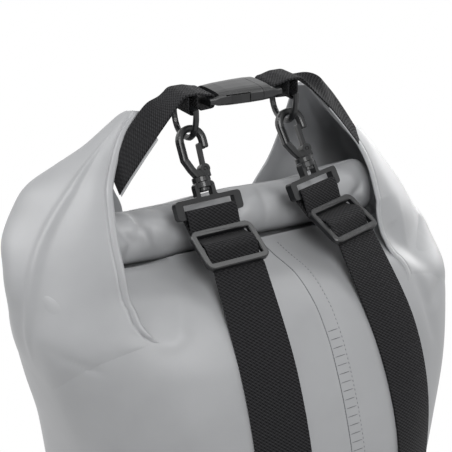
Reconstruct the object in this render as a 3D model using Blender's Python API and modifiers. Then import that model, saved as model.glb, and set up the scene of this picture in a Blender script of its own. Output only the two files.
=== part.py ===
# Roll-top dry bag with a buckled carry handle and two clip-on shoulder straps.
# Metres. +Z is up, the straps hang on the -Y side and the rolled top runs along X.
# The origin is the middle of the base, on the floor.
import math

import bmesh
import bpy
from mathutils import Matrix, Vector

# Fits between pieces
FIT_GAP = 0.0003
PIVOT_PLAY = 0.0004
HOLE_CORNER = 0.0006
CUT_PAST = 0.010

# Coated fabric bag
HANDLE_HEIGHT = 0.600
BASE_RADIUS = 0.130
BASE_FILLET = 0.006
BASE_PANEL_THICKNESS = 0.003
BASE_PANEL_INSET = 0.009
WELD_BAND_HEIGHT = 0.016
WELD_BAND_THICKNESS = 0.0012
NECK_SQUARENESS = 2.5
BAG_SEGMENTS = 40
RING_STEP = 0.017
RING_MARGIN = 0.003
# Neck sections: drop below the handle, half width, reach to the front, reach to the back
NECK_SECTIONS = [
    (0.230, 0.138, 0.124, 0.129),
    (0.190, 0.148, 0.114, 0.126),
    (0.154, 0.156, 0.100, 0.121),
    (0.138, 0.157, 0.091, 0.118),
    (0.124, 0.154, 0.080, 0.114),
    (0.110, 0.151, 0.062, 0.108),
    (0.104, 0.148, 0.038, 0.104),
    (0.096, 0.140, 0.015, 0.097),
    (0.085, 0.118, -0.005, 0.082),
    (0.074, 0.098, -0.015, 0.060),
    (0.066, 0.060, -0.025, 0.040),
]
LOWER_TUBE_DROP = 0.310

# Ears: the folded ends of the top that rise to the handle
EAR_WALL = 0.004
EAR_STEPS = 12
EAR_KNOTS = (0.0, 0.28, 0.62, 1.0)
# Ear sections: drop, then x and y of the front fold, the front face, the outer ridge and the back edge
EAR_SECTIONS = [
    (0.008, 0.0630, 0.0100, 0.0650, 0.0120, 0.0665, 0.0180, 0.0630, 0.0260),
    (0.020, 0.0735, 0.0080, 0.0785, 0.0150, 0.0790, 0.0280, 0.0680, 0.0420),
    (0.034, 0.0830, 0.0000, 0.0930, 0.0120, 0.0950, 0.0350, 0.0700, 0.0520),
    (0.047, 0.0900, -0.0120, 0.1060, 0.0060, 0.1110, 0.0440, 0.0710, 0.0600),
    (0.060, 0.0945, -0.0220, 0.1150, 0.0000, 0.1250, 0.0500, 0.0730, 0.0700),
    (0.075, 0.0970, -0.0340, 0.1230, -0.0050, 0.1390, 0.0530, 0.0760, 0.0800),
    (0.091, 0.0980, -0.0450, 0.1320, -0.0100, 0.1490, 0.0480, 0.0840, 0.0900),
    (0.107, 0.0970, -0.0530, 0.1400, -0.0160, 0.1525, 0.0380, 0.0920, 0.0960),
    (0.128, 0.0880, -0.0590, 0.1300, -0.0200, 0.1410, 0.0250, 0.0860, 0.0860),
]

# Rolled top and the stiffener strip inside it
ROLL_LENGTH = 0.200
ROLL_DROP = 0.087
ROLL_FORWARD = 0.003
ROLL_HALF_HEIGHT = 0.018
ROLL_HALF_DEPTH = 0.019
ROLL_SEGMENTS = 28
ROLL_SQUARENESS = 2.2
STIFFENER_THICKNESS = 0.0016

# Webbing
HANDLE_WEB_WIDTH = 0.025
STRAP_WIDTH = 0.038
WEB_THICKNESS = 0.0015
# The handle webbing: its height over the D-ring tabs, how it eases into bends and where it lies in the ear
HANDLE_RISE = 0.0062
HANDLE_EASE = 0.0004
HANDLE_BEND = 0.0025
HANDLE_TAIL_GAP = 0.0016
HANDLE_ROUTE = [(0.0580, -0.0094), (0.0730, -0.0271), (0.0865, -0.0440)]

# Side-release buckle, lying along X with the socket on the left
BUCKLE_LENGTH = 0.054
BUCKLE_WIDTH = 0.034
BUCKLE_THICKNESS = 0.011
BUCKLE_PARTING = 0.012
BUCKLE_BAR = 0.003
BUCKLE_BAR_THICKNESS = 0.006
BUCKLE_SLOT = 0.0045
BUCKLE_SQUARENESS = 3.4
BUCKLE_SEGMENTS = 24
BUCKLE_WAIST = 0.89
BUCKLE_END_WIDTH = 0.92
BUCKLE_NECK_THICKNESS = 0.84
BUCKLE_FACE_THICKNESS = 0.97
BUCKLE_EDGE = 0.0006
SOCKET_WALL = 0.0023
SOCKET_DEPTH = 0.027
WINDOW_LENGTH = 0.014
WINDOW_INSET = 0.0035
PRONG_ARM = 0.0035
PRONG_PROUD = 0.0012
PRONG_CROWN = 0.0006
PRONG_NOSE = 0.003
GUIDE_WIDTH = 0.006
GUIDE_SHARE = 0.7
GUIDE_ROOT = 0.001

# D-rings under the handle webbing
D_RING_SPACING = 0.076
D_RING_DROP = 0.004
D_RING_WIRE = 0.0042
D_RING_HEIGHT = 0.021
D_RING_SQUARENESS = 2.5
TAB_WALL = 0.0014
TAB_INSET = 0.0005
D_RING_POINTS = 18

# Swivel snap hooks, measured up from the top of the collar
HOOK_REACH = 0.027
HOOK_BAR = 0.0046
HOOK_THICKNESS = 0.0065
HOOK_EYE_RADIUS = 0.006
HOOK_NOSE_DROP = 0.0066
HOOK_TILT = math.radians(28)
HOOK_SEAT_OUT = 0.007
HOOK_SEAT_PLAY = 0.0014
HOOK_EDGE = 0.0016
HOOK_EDGE_STEPS = 2
HOOK_FOOT = [(-0.001, -0.001), (-0.0052, 0.006)]
HOOK_SPINE_START = 0.013
HOOK_ARC_STEPS = 14
COLLAR_RADIUS = 0.0062
COLLAR_HEIGHT = 0.003
COLLAR_EDGE = 0.0005
SWIVEL_PIN_RADIUS = 0.0026
SWIVEL_HEAD_RADIUS = 0.0042
SWIVEL_HEAD_HEIGHT = 0.0022
HOOK_GROOVE = 0.0012
HOOK_GROOVE_SHARE = 0.42
GATE_WIDTH = 0.0026
GATE_THICKNESS = 0.0036
GATE_PIN_RADIUS = 0.0010
GATE_PIVOT_X = 0.0036
GATE_PIVOT_Z = 0.0050
GATE_LUG_RADIUS = 0.0034
GATE_LAP = 0.0032
GATE_FORK_ROOM = 0.0008

# Strap fixture under the swivel
FIXTURE_WIDTH = 0.050
FIXTURE_THICKNESS = 0.005
FIXTURE_RING_HEIGHT = 0.0036
FIXTURE_YOKE_WIDTH = 0.015
FIXTURE_YOKE_WINDOW = 0.0058
FIXTURE_BAR = 0.004
FIXTURE_TOP_BAR = 0.003
FIXTURE_WINDOW = 0.0056
FIXTURE_CORNER = 0.0025
FIXTURE_ROOT = 0.0015

# Strap slider
SLIDER_SIDE = 0.0040
SLIDER_BAR = 0.0045
SLIDER_MIDDLE_BAR = 0.0035
SLIDER_WINDOW = 0.0092
SLIDER_THICKNESS = 0.004
SLIDER_CORNER = 0.005
SLIDER_EDGE = 0.0006
SLIDER_WEB_GAP = 0.0008
SLIDER_WEAVE_EASE = 0.0005
SLIDER_OUT = 0.047
SLIDER_FALL = 0.060
SLIDER_TILT = math.radians(58)

# Shoulder straps: side, which way it lies from the middle, how far its plane is turned
STRAP_SIDES = [("left", -1, math.radians(3)), ("right", 1, math.radians(20))]
STRAP_CONTACT_DROP = 0.142
STRAP_LIFT = 0.0016
STRAP_COLUMNS = 4
STRAP_STEP = 0.006
STRAP_END_HEIGHT = 0.040
PATCH_HEIGHT = 0.084
PATCH_BOTTOM = 0.026
PATCH_WIDTH = 0.058
PATCH_THICKNESS = 0.0012
PATCH_LIFT = 0.0008
PATCH_COLUMNS = 6

# Welded seam tape between the straps, a little to the right of the middle
SEAM_ASIDE = 0.008
SEAM_WIDTH = 0.019
SEAM_THICKNESS = 0.0006
SEAM_TURN = math.radians(7)
SEAM_TOP_DROP = 0.112
SEAM_BOTTOM = 0.030
SEAM_COLUMNS = 2

COLLECTION_NAME = "dry_bag"

for old in list(bpy.data.objects):
    bpy.data.objects.remove(old, do_unlink=True)

parts = bpy.data.collections.new(COLLECTION_NAME)
cutters = bpy.data.collections.new("cutters")
bpy.context.scene.collection.children.link(parts)
bpy.context.scene.collection.children.link(cutters)


def finish(name, colour, roughness):
    """A Principled material; colour is linear RGB."""
    material = bpy.data.materials.new(name)
    material.use_nodes = True
    shader = material.node_tree.nodes["Principled BSDF"]
    shader.inputs["Base Color"].default_value = (*colour, 1.0)
    shader.inputs["Roughness"].default_value = roughness
    shader.inputs["Metallic"].default_value = 0.0
    return material


TARPAULIN = finish("grey_tarpaulin", (0.38, 0.39, 0.41), 0.45)
TARPAULIN_TAPE = finish("grey_seam_tape", (0.36, 0.37, 0.39), 0.5)
WEBBING = finish("black_webbing", (0.012, 0.012, 0.013), 0.85)
NYLON = finish("black_moulded_nylon", (0.022, 0.022, 0.023), 0.5)
STIFFENER = finish("stiffener_plastic", (0.05, 0.05, 0.05), 0.6)


def add_part(name, mesh, material, frame=Matrix.Identity(4)):
    """Put a mesh in the model as one named piece."""
    piece = bpy.data.objects.new(name, mesh)
    if not mesh.materials:
        mesh.materials.append(material)
    piece.matrix_world = frame
    parts.objects.link(piece)
    mesh.shade_smooth()
    mesh.set_sharp_from_angle(angle=math.radians(35))
    return piece


def add_cutter(name, mesh):
    cutter = bpy.data.objects.new(name, mesh)
    cutter.hide_render = True
    cutter.display_type = "WIRE"
    cutters.objects.link(cutter)
    return cutter


def baked(piece):
    """The piece's evaluated mesh, welded, as new mesh data."""
    bpy.context.view_layer.update()
    graph = bpy.context.evaluated_depsgraph_get()
    mesh = bpy.data.meshes.new_from_object(piece.evaluated_get(graph))
    shape = bmesh.new()
    shape.from_mesh(mesh)
    bmesh.ops.remove_doubles(shape, verts=shape.verts, dist=1e-6)
    bmesh.ops.recalc_face_normals(shape, faces=shape.faces)
    shape.to_mesh(mesh)
    shape.free()
    return mesh


def combine(base, *steps):
    """Run (operation, mesh) Boolean steps on a mesh and return the result."""
    work = bpy.data.objects.new("work", base)
    cutters.objects.link(work)
    tools = []
    for operation, mesh in steps:
        tool = add_cutter("tool", mesh)
        tools.append(tool)
        cut = work.modifiers.new(operation.lower(), "BOOLEAN")
        cut.operation = operation
        cut.object = tool
    result = baked(work)
    for used in [work] + tools:
        bpy.data.objects.remove(used, do_unlink=True)
    return result


def loft(rings):
    """Skin a list of equal closed rings and cap both ends."""
    shape = bmesh.new()
    rows = [[shape.verts.new(point) for point in ring] for ring in rings]
    count = len(rows[0])
    for low, high in zip(rows, rows[1:]):
        for i in range(count):
            j = (i + 1) % count
            shape.faces.new((low[i], low[j], high[j], high[i]))
    shape.faces.new(rows[0])
    shape.faces.new(rows[-1])
    bmesh.ops.recalc_face_normals(shape, faces=shape.faces)
    mesh = bpy.data.meshes.new("loft")
    shape.to_mesh(mesh)
    shape.free()
    return mesh


def extrusion(outlines, thickness, upright=False):
    """Extrude flat outlines, the first solid and the rest holes, half to each side.

    An upright extrusion has its outline in X and Z and its thickness along Y.
    """
    curve = bpy.data.curves.new("outline", "CURVE")
    curve.dimensions = "2D"
    curve.fill_mode = "BOTH"
    curve.extrude = thickness / 2
    for outline in outlines:
        spline = curve.splines.new("POLY")
        spline.points.add(len(outline) - 1)
        for point, (x, y) in zip(spline.points, outline):
            point.co = (x, y, 0.0, 1.0)
        spline.use_cyclic_u = True
    drawn = bpy.data.objects.new("outline", curve)
    cutters.objects.link(drawn)
    mesh = baked(drawn)
    bpy.data.objects.remove(drawn, do_unlink=True)
    if upright:
        mesh.transform(Matrix.Rotation(math.radians(90), 4, "X"))
    return mesh


def block(size, centre):
    shape = bmesh.new()
    bmesh.ops.create_cube(shape, size=1.0, matrix=Matrix.Translation(centre) @ Matrix.Diagonal((*size, 1.0)))
    mesh = bpy.data.meshes.new("block")
    shape.to_mesh(mesh)
    shape.free()
    return mesh


def cylinder(radius, length, centre, axis="Z", segments=24):
    turn = {"Z": Matrix.Identity(4),
            "Y": Matrix.Rotation(math.radians(90), 4, "X"),
            "X": Matrix.Rotation(math.radians(90), 4, "Y")}[axis]
    shape = bmesh.new()
    bmesh.ops.create_cone(shape, cap_ends=True, segments=segments, radius1=radius, radius2=radius,
                          depth=length, matrix=Matrix.Translation(centre) @ turn)
    mesh = bpy.data.meshes.new("cylinder")
    shape.to_mesh(mesh)
    shape.free()
    return mesh


def turned(profile, segments=24):
    """A solid of revolution about Z from (radius, z) points, listed top to bottom."""
    shape = bmesh.new()
    corners = [shape.verts.new((radius, 0.0, z)) for radius, z in profile]
    for a, b in zip(corners, corners[1:]):
        shape.edges.new((a, b))
    mesh = bpy.data.meshes.new("profile")
    shape.to_mesh(mesh)
    shape.free()
    spun = bpy.data.objects.new("profile", mesh)
    cutters.objects.link(spun)
    screw = spun.modifiers.new("turn", "SCREW")
    screw.steps = segments
    screw.render_steps = segments
    screw.use_merge_vertices = True
    screw.merge_threshold = 1e-6
    result = baked(spun)
    bpy.data.objects.remove(spun, do_unlink=True)
    return result


def rounded(mesh, width, segments=1):
    """Round the sharp edges of a mesh whose flat faces are made whole first."""
    work = bpy.data.objects.new("work", mesh)
    cutters.objects.link(work)
    faces = work.modifiers.new("whole faces", "DECIMATE")
    faces.decimate_type = "DISSOLVE"
    faces.angle_limit = math.radians(1)
    bevel = work.modifiers.new("edges", "BEVEL")
    bevel.width = width
    bevel.segments = segments
    bevel.use_clamp_overlap = False
    bevel.limit_method = "ANGLE"
    bevel.angle_limit = math.radians(50)
    result = baked(work)
    bpy.data.objects.remove(work, do_unlink=True)
    return result


def arc(cx, cy, radius, start, end, steps):
    """Points on an arc, angles in degrees."""
    angles = [math.radians(start + (end - start) * i / steps) for i in range(steps + 1)]
    return [(cx + radius * math.cos(a), cy + radius * math.sin(a)) for a in angles]


def rounded_rectangle(half_width, low, high, corner, steps=3):
    """Outline of a rectangle about the Y axis, from low to high, with round corners."""
    corners = [(half_width - corner, low + corner, -90), (half_width - corner, high - corner, 0),
               (corner - half_width, high - corner, 90), (corner - half_width, low + corner, 180)]
    points = []
    for cx, cy, start in corners:
        points += arc(cx, cy, corner, start, start + 90, steps)
    return points


def band(path, thickness):
    """Outline of a strip of even thickness that follows a flat path."""
    one_side = []
    other_side = []
    for i, point in enumerate(path):
        here = Vector(point)
        before = (here - Vector(path[i - 1])).normalized() if i else None
        after = (Vector(path[i + 1]) - here).normalized() if i < len(path) - 1 else None
        if before is None:
            before = after
        if after is None:
            after = before
        normal = Vector((-before.y - after.y, before.x + after.x)).normalized()
        stretch = normal.dot(Vector((-before.y, before.x)))
        offset = normal * (thickness / 2 / stretch)
        one_side.append(tuple(here + offset))
        other_side.append(tuple(here - offset))
    return one_side + other_side[::-1]


def superellipse(half_width, half_height, power, count):
    points = []
    for i in range(count):
        angle = 2 * math.pi * i / count
        c = math.cos(angle)
        s = math.sin(angle)
        points.append((math.copysign(abs(c) ** (2 / power), c) * half_width,
                       math.copysign(abs(s) ** (2 / power), s) * half_height))
    return points


# Bag: a round tube on a round base that is squeezed flat towards the rolled top.
BAG_BOTTOM = BASE_PANEL_THICKNESS + FIT_GAP


BAG_ROWS = [(0.0, BASE_RADIUS, BASE_RADIUS, BASE_RADIUS, 2.0),
            (HANDLE_HEIGHT - LOWER_TUBE_DROP, BASE_RADIUS, BASE_RADIUS, BASE_RADIUS, 2.0)]
BAG_ROWS += [(HANDLE_HEIGHT - drop, half_width, front, back, NECK_SQUARENESS)
             for drop, half_width, front, back in NECK_SECTIONS]


def row_slope(i, column):
    """How fast a section size changes with height at a row; the tube's ends are straight."""
    if i < 2 or i == len(BAG_ROWS) - 1:
        return 0.0
    before = BAG_ROWS[i - 1]
    after = BAG_ROWS[i + 1]
    return (after[column] - before[column]) / (after[0] - before[0])


def bag_section(z):
    """Half width, middle y, half depth and squareness of the bag at a height, on a smooth curve."""
    i = 0
    while i < len(BAG_ROWS) - 2 and z > BAG_ROWS[i + 1][0]:
        i += 1
    low = BAG_ROWS[i]
    high = BAG_ROWS[i + 1]
    span = high[0] - low[0]
    t = min(max((z - low[0]) / span, 0.0), 1.0)
    sizes = []
    for column in range(1, 5):
        rise = low[column] + (high[column] - low[column]) * t * t * (3 - 2 * t)
        lead_in = row_slope(i, column) * span * t * (1 - t) ** 2
        lead_out = row_slope(i + 1, column) * span * t * t * (t - 1)
        sizes.append(rise + lead_in + lead_out)
    wide, front, back, power = sizes
    return wide, (back - front) / 2, (back + front) / 2, power


def ring_heights():
    """Heights of the bag's rings: the section rows, with more between those that are far apart."""
    heights = [BAG_BOTTOM + BASE_FILLET]
    for low, high in zip(BAG_ROWS[1:], BAG_ROWS[2:]):
        steps = math.ceil((high[0] - low[0]) / RING_STEP)
        heights += [low[0] + (high[0] - low[0]) * i / steps for i in range(steps)]
    return heights + [BAG_ROWS[-1][0]]


RING_HEIGHTS = ring_heights()


def bag_ring(z, shrink=0.0):
    wide, middle, deep, power = bag_section(z)
    return [(x, y + middle, z) for x, y in superellipse(wide - shrink, deep - shrink, power, BAG_SEGMENTS)]


def bag_solid():
    foot = [(x, y, BAG_BOTTOM) for x, y, _ in bag_ring(BAG_BOTTOM, BASE_FILLET)]
    return loft([foot] + [bag_ring(z) for z in RING_HEIGHTS])


def ear_curve(corners):
    """Points on the smooth curve from the front fold over the ridge to the back edge."""
    last = len(EAR_KNOTS) - 1
    slopes = []
    for i in range(last + 1):
        low = max(i - 1, 0)
        high = min(i + 1, last)
        slopes.append((corners[high] - corners[low]) / (EAR_KNOTS[high] - EAR_KNOTS[low]))
    points = []
    for step in range(EAR_STEPS + 1):
        at = step / EAR_STEPS
        i = max(k for k in range(last) if EAR_KNOTS[k] <= at)
        span = EAR_KNOTS[i + 1] - EAR_KNOTS[i]
        t = (at - EAR_KNOTS[i]) / span
        point = corners[i] + (corners[i + 1] - corners[i]) * (t * t * (3 - 2 * t))
        point += slopes[i] * (span * t * (1 - t) ** 2) + slopes[i + 1] * (span * t * t * (t - 1))
        points.append(point)
    return points


def ear_solid(side):
    """A fabric wall that wraps round one end of the rolled top and narrows towards the handle."""
    rings = []
    for drop, *xy in EAR_SECTIONS:
        outer = ear_curve([Vector(xy[i:i + 2]) for i in range(0, len(xy), 2)])
        inner = []
        for i, point in enumerate(outer):
            along = outer[min(i + 1, EAR_STEPS)] - outer[max(i - 1, 0)]
            inner.append(point + Vector((-along.y, along.x)).normalized() * EAR_WALL)
        rings.append([(side * point.x, point.y, HANDLE_HEIGHT - drop) for point in outer + inner[::-1]])
    return loft(rings)


def roll_solid(clearance=0.0):
    """The rolled hem, or with a clearance the room that it takes."""
    outline = superellipse(ROLL_HALF_DEPTH + clearance, ROLL_HALF_HEIGHT + clearance, ROLL_SQUARENESS,
                           ROLL_SEGMENTS)
    rings = []
    for end in (-1, 1):
        x = end * (ROLL_LENGTH / 2 + clearance)
        rings.append([(x, y - ROLL_FORWARD, z + HANDLE_HEIGHT - ROLL_DROP) for y, z in outline])
    return loft(rings)


# Handle webbing: from inside the ear, over to the buckle, round its end bar and back.
HALF_BUCKLE = BUCKLE_LENGTH / 2
WEB_OFFSET = WEB_THICKNESS / 2 + FIT_GAP
BAR_TOP = BUCKLE_BAR_THICKNESS / 2 + WEB_OFFSET
BAR_INSIDE = HALF_BUCKLE - BUCKLE_BAR
D_RING_X = D_RING_SPACING / 2
WIRE_RADIUS = D_RING_WIRE / 2
TAB_BORE = WIRE_RADIUS + PIVOT_PLAY
TAB_RADIUS = TAB_BORE + TAB_WALL


def handle_path():
    """X outwards and Z above the handle's middle height."""
    cover = TAB_RADIUS + FIT_GAP
    level = [(D_RING_X + cover + HANDLE_BEND, HANDLE_RISE - HANDLE_EASE), (D_RING_X + cover, HANDLE_RISE),
             (D_RING_X - cover, HANDLE_RISE), (HALF_BUCKLE, BAR_TOP + HANDLE_EASE)]
    wrap = arc(BAR_INSIDE, BAR_TOP - WEB_OFFSET, WEB_OFFSET, 90, 180, 3)
    under = arc(BAR_INSIDE, WEB_OFFSET - BAR_TOP, WEB_OFFSET, 180, 270, 3)
    tail = (D_RING_X - TAB_RADIUS - HANDLE_TAIL_GAP, -BAR_TOP - HANDLE_EASE)
    return HANDLE_ROUTE[::-1] + level + wrap + under + [tail]


def handle_webbing(side, clearance=0.0):
    outline = band(handle_path(), WEB_THICKNESS + 2 * clearance)
    outline = [(side * x, z) for x, z in outline]
    mesh = extrusion([outline], HANDLE_WEB_WIDTH + 2 * clearance, upright=True)
    mesh.transform(Matrix.Translation((0, 0, HANDLE_HEIGHT)))
    return mesh


bag = combine(bag_solid(), ("UNION", ear_solid(-1)), ("UNION", ear_solid(1)),
              ("DIFFERENCE", roll_solid(FIT_GAP)),
              ("DIFFERENCE", handle_webbing(-1, FIT_GAP)), ("DIFFERENCE", handle_webbing(1, FIT_GAP)))
add_part("bag_tube", bag, TARPAULIN)

add_part("base_panel", cylinder(BASE_RADIUS - BASE_PANEL_INSET, BASE_PANEL_THICKNESS,
                                (0, 0, BASE_PANEL_THICKNESS / 2), segments=BAG_SEGMENTS), TARPAULIN)

band_low = BAG_BOTTOM + BASE_FILLET
band_inside = BASE_RADIUS + FIT_GAP
band_outside = band_inside + WELD_BAND_THICKNESS
add_part("base_weld_band", turned([
    (band_outside, band_low + WELD_BAND_HEIGHT), (band_outside, band_low),
    (band_inside, band_low), (band_inside, band_low + WELD_BAND_HEIGHT),
    (band_outside, band_low + WELD_BAND_HEIGHT)], BAG_SEGMENTS), TARPAULIN)

# Rolled hem with a pocket along it for the stiffener, which shows at both ends.
pocket = block((ROLL_LENGTH + CUT_PAST, STIFFENER_THICKNESS + 2 * FIT_GAP, HANDLE_WEB_WIDTH + 2 * FIT_GAP),
               (0, -ROLL_FORWARD, HANDLE_HEIGHT - ROLL_DROP))
add_part("rolled_hem", combine(roll_solid(), ("DIFFERENCE", pocket)), TARPAULIN)
add_part("hem_stiffener", block((ROLL_LENGTH, STIFFENER_THICKNESS, HANDLE_WEB_WIDTH),
                                (0, -ROLL_FORWARD, HANDLE_HEIGHT - ROLL_DROP)), STIFFENER)

for side_name, side, _ in STRAP_SIDES:
    add_part("handle_webbing_" + side_name, handle_webbing(side), WEBBING)

# Side-release buckle. The socket takes the two prongs of the plug, which spring out into its side windows.
HALF_WIDTH = BUCKLE_WIDTH / 2
HALF_THICK = BUCKLE_THICKNESS / 2
SLOT_HALF_WIDTH = HANDLE_WEB_WIDTH / 2 + PIVOT_PLAY
CAVITY_HALF_WIDTH = HALF_WIDTH - SOCKET_WALL
CAVITY_HALF_HEIGHT = HALF_THICK - SOCKET_WALL
CAVITY_END = BUCKLE_PARTING - SOCKET_DEPTH
WINDOW_LOW = CAVITY_END + WINDOW_INSET
WINDOW_HIGH = WINDOW_LOW + WINDOW_LENGTH
BUCKLE_CENTRE = Matrix.Translation((0, 0, HANDLE_HEIGHT))


def buckle_loft(stations):
    """Skin pillow-shaped sections along X from (x, half width, half thickness) stations."""
    return loft([[(x, y, z) for y, z in superellipse(wide, thick, BUCKLE_SQUARENESS, BUCKLE_SEGMENTS)]
                 for x, wide, thick in stations])


def web_slot(side):
    """The slot that the handle webbing passes through, inside an end bar."""
    middle = side * (BAR_INSIDE - BUCKLE_SLOT / 2)
    return block((BUCKLE_SLOT, 2 * SLOT_HALF_WIDTH, BUCKLE_THICKNESS * 2), (middle, 0, 0))


BAR_HALF = BUCKLE_BAR_THICKNESS / 2
END_HALF_WIDTH = HALF_WIDTH * BUCKLE_END_WIDTH
WAIST_HALF_WIDTH = HALF_WIDTH * BUCKLE_WAIST
NECK_HALF_THICK = HALF_THICK * BUCKLE_NECK_THICKNESS
FACE_HALF_THICK = HALF_THICK * BUCKLE_FACE_THICKNESS
socket_shell = buckle_loft([
    (-HALF_BUCKLE, WAIST_HALF_WIDTH, BAR_HALF),
    (-BAR_INSIDE + BUCKLE_EDGE, END_HALF_WIDTH, BAR_HALF),
    (-BAR_INSIDE + BUCKLE_SLOT, WAIST_HALF_WIDTH, NECK_HALF_THICK),
    (WINDOW_LOW, (WAIST_HALF_WIDTH + END_HALF_WIDTH) / 2, FACE_HALF_THICK),
    (WINDOW_HIGH, HALF_WIDTH - BUCKLE_EDGE, HALF_THICK),
    (BUCKLE_PARTING, HALF_WIDTH, FACE_HALF_THICK)])
mouth = block((SOCKET_DEPTH * 2, 2 * CAVITY_HALF_WIDTH, 2 * CAVITY_HALF_HEIGHT),
              (CAVITY_END + SOCKET_DEPTH, 0, 0))
windows = block((WINDOW_LENGTH, BUCKLE_WIDTH * 2, 2 * CAVITY_HALF_HEIGHT),
                ((WINDOW_LOW + WINDOW_HIGH) / 2, 0, 0))
add_part("buckle_socket", combine(socket_shell, ("DIFFERENCE", mouth), ("DIFFERENCE", windows),
                                  ("DIFFERENCE", web_slot(-1))), NYLON, BUCKLE_CENTRE)

plug_face = BUCKLE_PARTING + FIT_GAP
plug_shell = buckle_loft([
    (plug_face, HALF_WIDTH, FACE_HALF_THICK),
    (BAR_INSIDE - BUCKLE_SLOT - BUCKLE_EDGE, HALF_WIDTH - BUCKLE_EDGE, (NECK_HALF_THICK + HALF_THICK) / 2),
    (BAR_INSIDE - BUCKLE_EDGE, (HALF_WIDTH + END_HALF_WIDTH) / 2, BAR_HALF),
    (HALF_BUCKLE, END_HALF_WIDTH, BAR_HALF)])
guide_length = SOCKET_DEPTH * GUIDE_SHARE
guide = block((guide_length, GUIDE_WIDTH, 2 * CAVITY_HALF_HEIGHT - 2 * PIVOT_PLAY),
              (plug_face + GUIDE_ROOT - guide_length / 2, 0, 0))
add_part("buckle_plug", combine(plug_shell, ("UNION", guide), ("DIFFERENCE", web_slot(1))),
         NYLON, BUCKLE_CENTRE)

# Prongs: arms on the plug with round roots and heads that fill the socket's side windows.
PRONG_PIVOT_X = plug_face - PRONG_ARM / 2 - PIVOT_PLAY
PRONG_PIVOT_Y = CAVITY_HALF_WIDTH - PRONG_ARM / 2 - PIVOT_PLAY
PRONG_HEIGHT = 2 * CAVITY_HALF_HEIGHT - 2 * PIVOT_PLAY


def prong_outline():
    """Seen from above with the pivot at the origin, the arm pointing to -X and the head to +Y."""
    half = PRONG_ARM / 2
    head_outer = CAVITY_HALF_WIDTH + PRONG_PROUD - PRONG_PIVOT_Y
    shoulder = WINDOW_HIGH - PRONG_PIVOT_X - PIVOT_PLAY
    tip = WINDOW_LOW - PRONG_PIVOT_X + PIVOT_PLAY
    head = [(shoulder, half), (shoulder, head_outer), ((shoulder + tip) / 2, head_outer + PRONG_CROWN),
            (tip + PRONG_NOSE, head_outer), (tip, half), (tip, -half / 2), (tip + PRONG_NOSE, -half)]
    return arc(0, 0, half, -90, 90, 8) + head


for end_name, side in (("front", -1), ("back", 1)):
    outline = [(x, side * y) for x, y in prong_outline()]
    place = BUCKLE_CENTRE @ Matrix.Translation((PRONG_PIVOT_X, side * PRONG_PIVOT_Y, 0))
    add_part("buckle_prong_" + end_name, extrusion([outline], PRONG_HEIGHT), NYLON, place)

# D-rings: bent wire whose straight side turns in a webbing tab under the handle.
D_RING_HALF = HANDLE_WEB_WIDTH / 2 + TAB_BORE + TAB_INSET


def d_ring_fall(y):
    """How far the wire hangs below the straight side at a distance along it."""
    return D_RING_HEIGHT * (1 - abs(y / D_RING_HALF) ** D_RING_SQUARENESS) ** (1 / D_RING_SQUARENESS)


def d_ring_mesh():
    curve = bpy.data.curves.new("wire", "CURVE")
    curve.dimensions = "3D"
    curve.bevel_depth = WIRE_RADIUS
    curve.bevel_resolution = 2
    bow = [(y, -z) for y, z in superellipse(D_RING_HALF, D_RING_HEIGHT, D_RING_SQUARENESS,
                                                2 * D_RING_POINTS)[:D_RING_POINTS + 1]]
    straight = [(-D_RING_HALF / 2, 0.0), (D_RING_HALF / 2, 0.0)]
    spline = curve.splines.new("POLY")
    spline.points.add(len(bow + straight) - 1)
    for point, (y, z) in zip(spline.points, bow + straight):
        point.co = (0.0, y, z, 1.0)
    spline.use_cyclic_u = True
    drawn = bpy.data.objects.new("wire", curve)
    cutters.objects.link(drawn)
    mesh = baked(drawn)
    bpy.data.objects.remove(drawn, do_unlink=True)
    return mesh


tab_top = HANDLE_RISE + D_RING_DROP - WEB_THICKNESS / 2 - FIT_GAP
tab_outline = [(TAB_RADIUS, tab_top), (-TAB_RADIUS, tab_top)] + arc(0, 0, TAB_RADIUS, 180, 360, 12)
tab_bore = arc(0, 0, TAB_BORE, 0, 345, 23)
tab_mesh = extrusion([tab_outline, tab_bore], HANDLE_WEB_WIDTH - 2 * TAB_INSET, upright=True)
d_ring = d_ring_mesh()
for side_name, side, _ in STRAP_SIDES:
    bar = Matrix.Translation((side * D_RING_X, 0, HANDLE_HEIGHT - D_RING_DROP))
    add_part("d_ring_tab_" + side_name, tab_mesh, WEBBING, bar)
    add_part("d_ring_" + side_name, d_ring, NYLON, bar)

# Swivel snap hook: a J of grooved bar on a round collar, with a headed pin below that turns in the fixture.
EYE_CENTRE = HOOK_REACH - HOOK_EYE_RADIUS + WIRE_RADIUS + HOOK_SEAT_PLAY
SPINE_X = HOOK_EYE_RADIUS + HOOK_BAR / 2
RING_TOP = -COLLAR_HEIGHT - FIT_GAP
RING_BOTTOM = RING_TOP - FIXTURE_RING_HEIGHT
YOKE_FLOOR = RING_BOTTOM - FIXTURE_YOKE_WINDOW
WINDOW_TOP = YOKE_FLOOR - FIXTURE_TOP_BAR
WINDOW_BOTTOM = WINDOW_TOP - FIXTURE_WINDOW
FIXTURE_BOTTOM = WINDOW_BOTTOM - FIXTURE_BAR
BAR_LEVEL = WINDOW_BOTTOM - FIXTURE_BAR / 2
HEAD_TOP = RING_BOTTOM - PIVOT_PLAY


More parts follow.
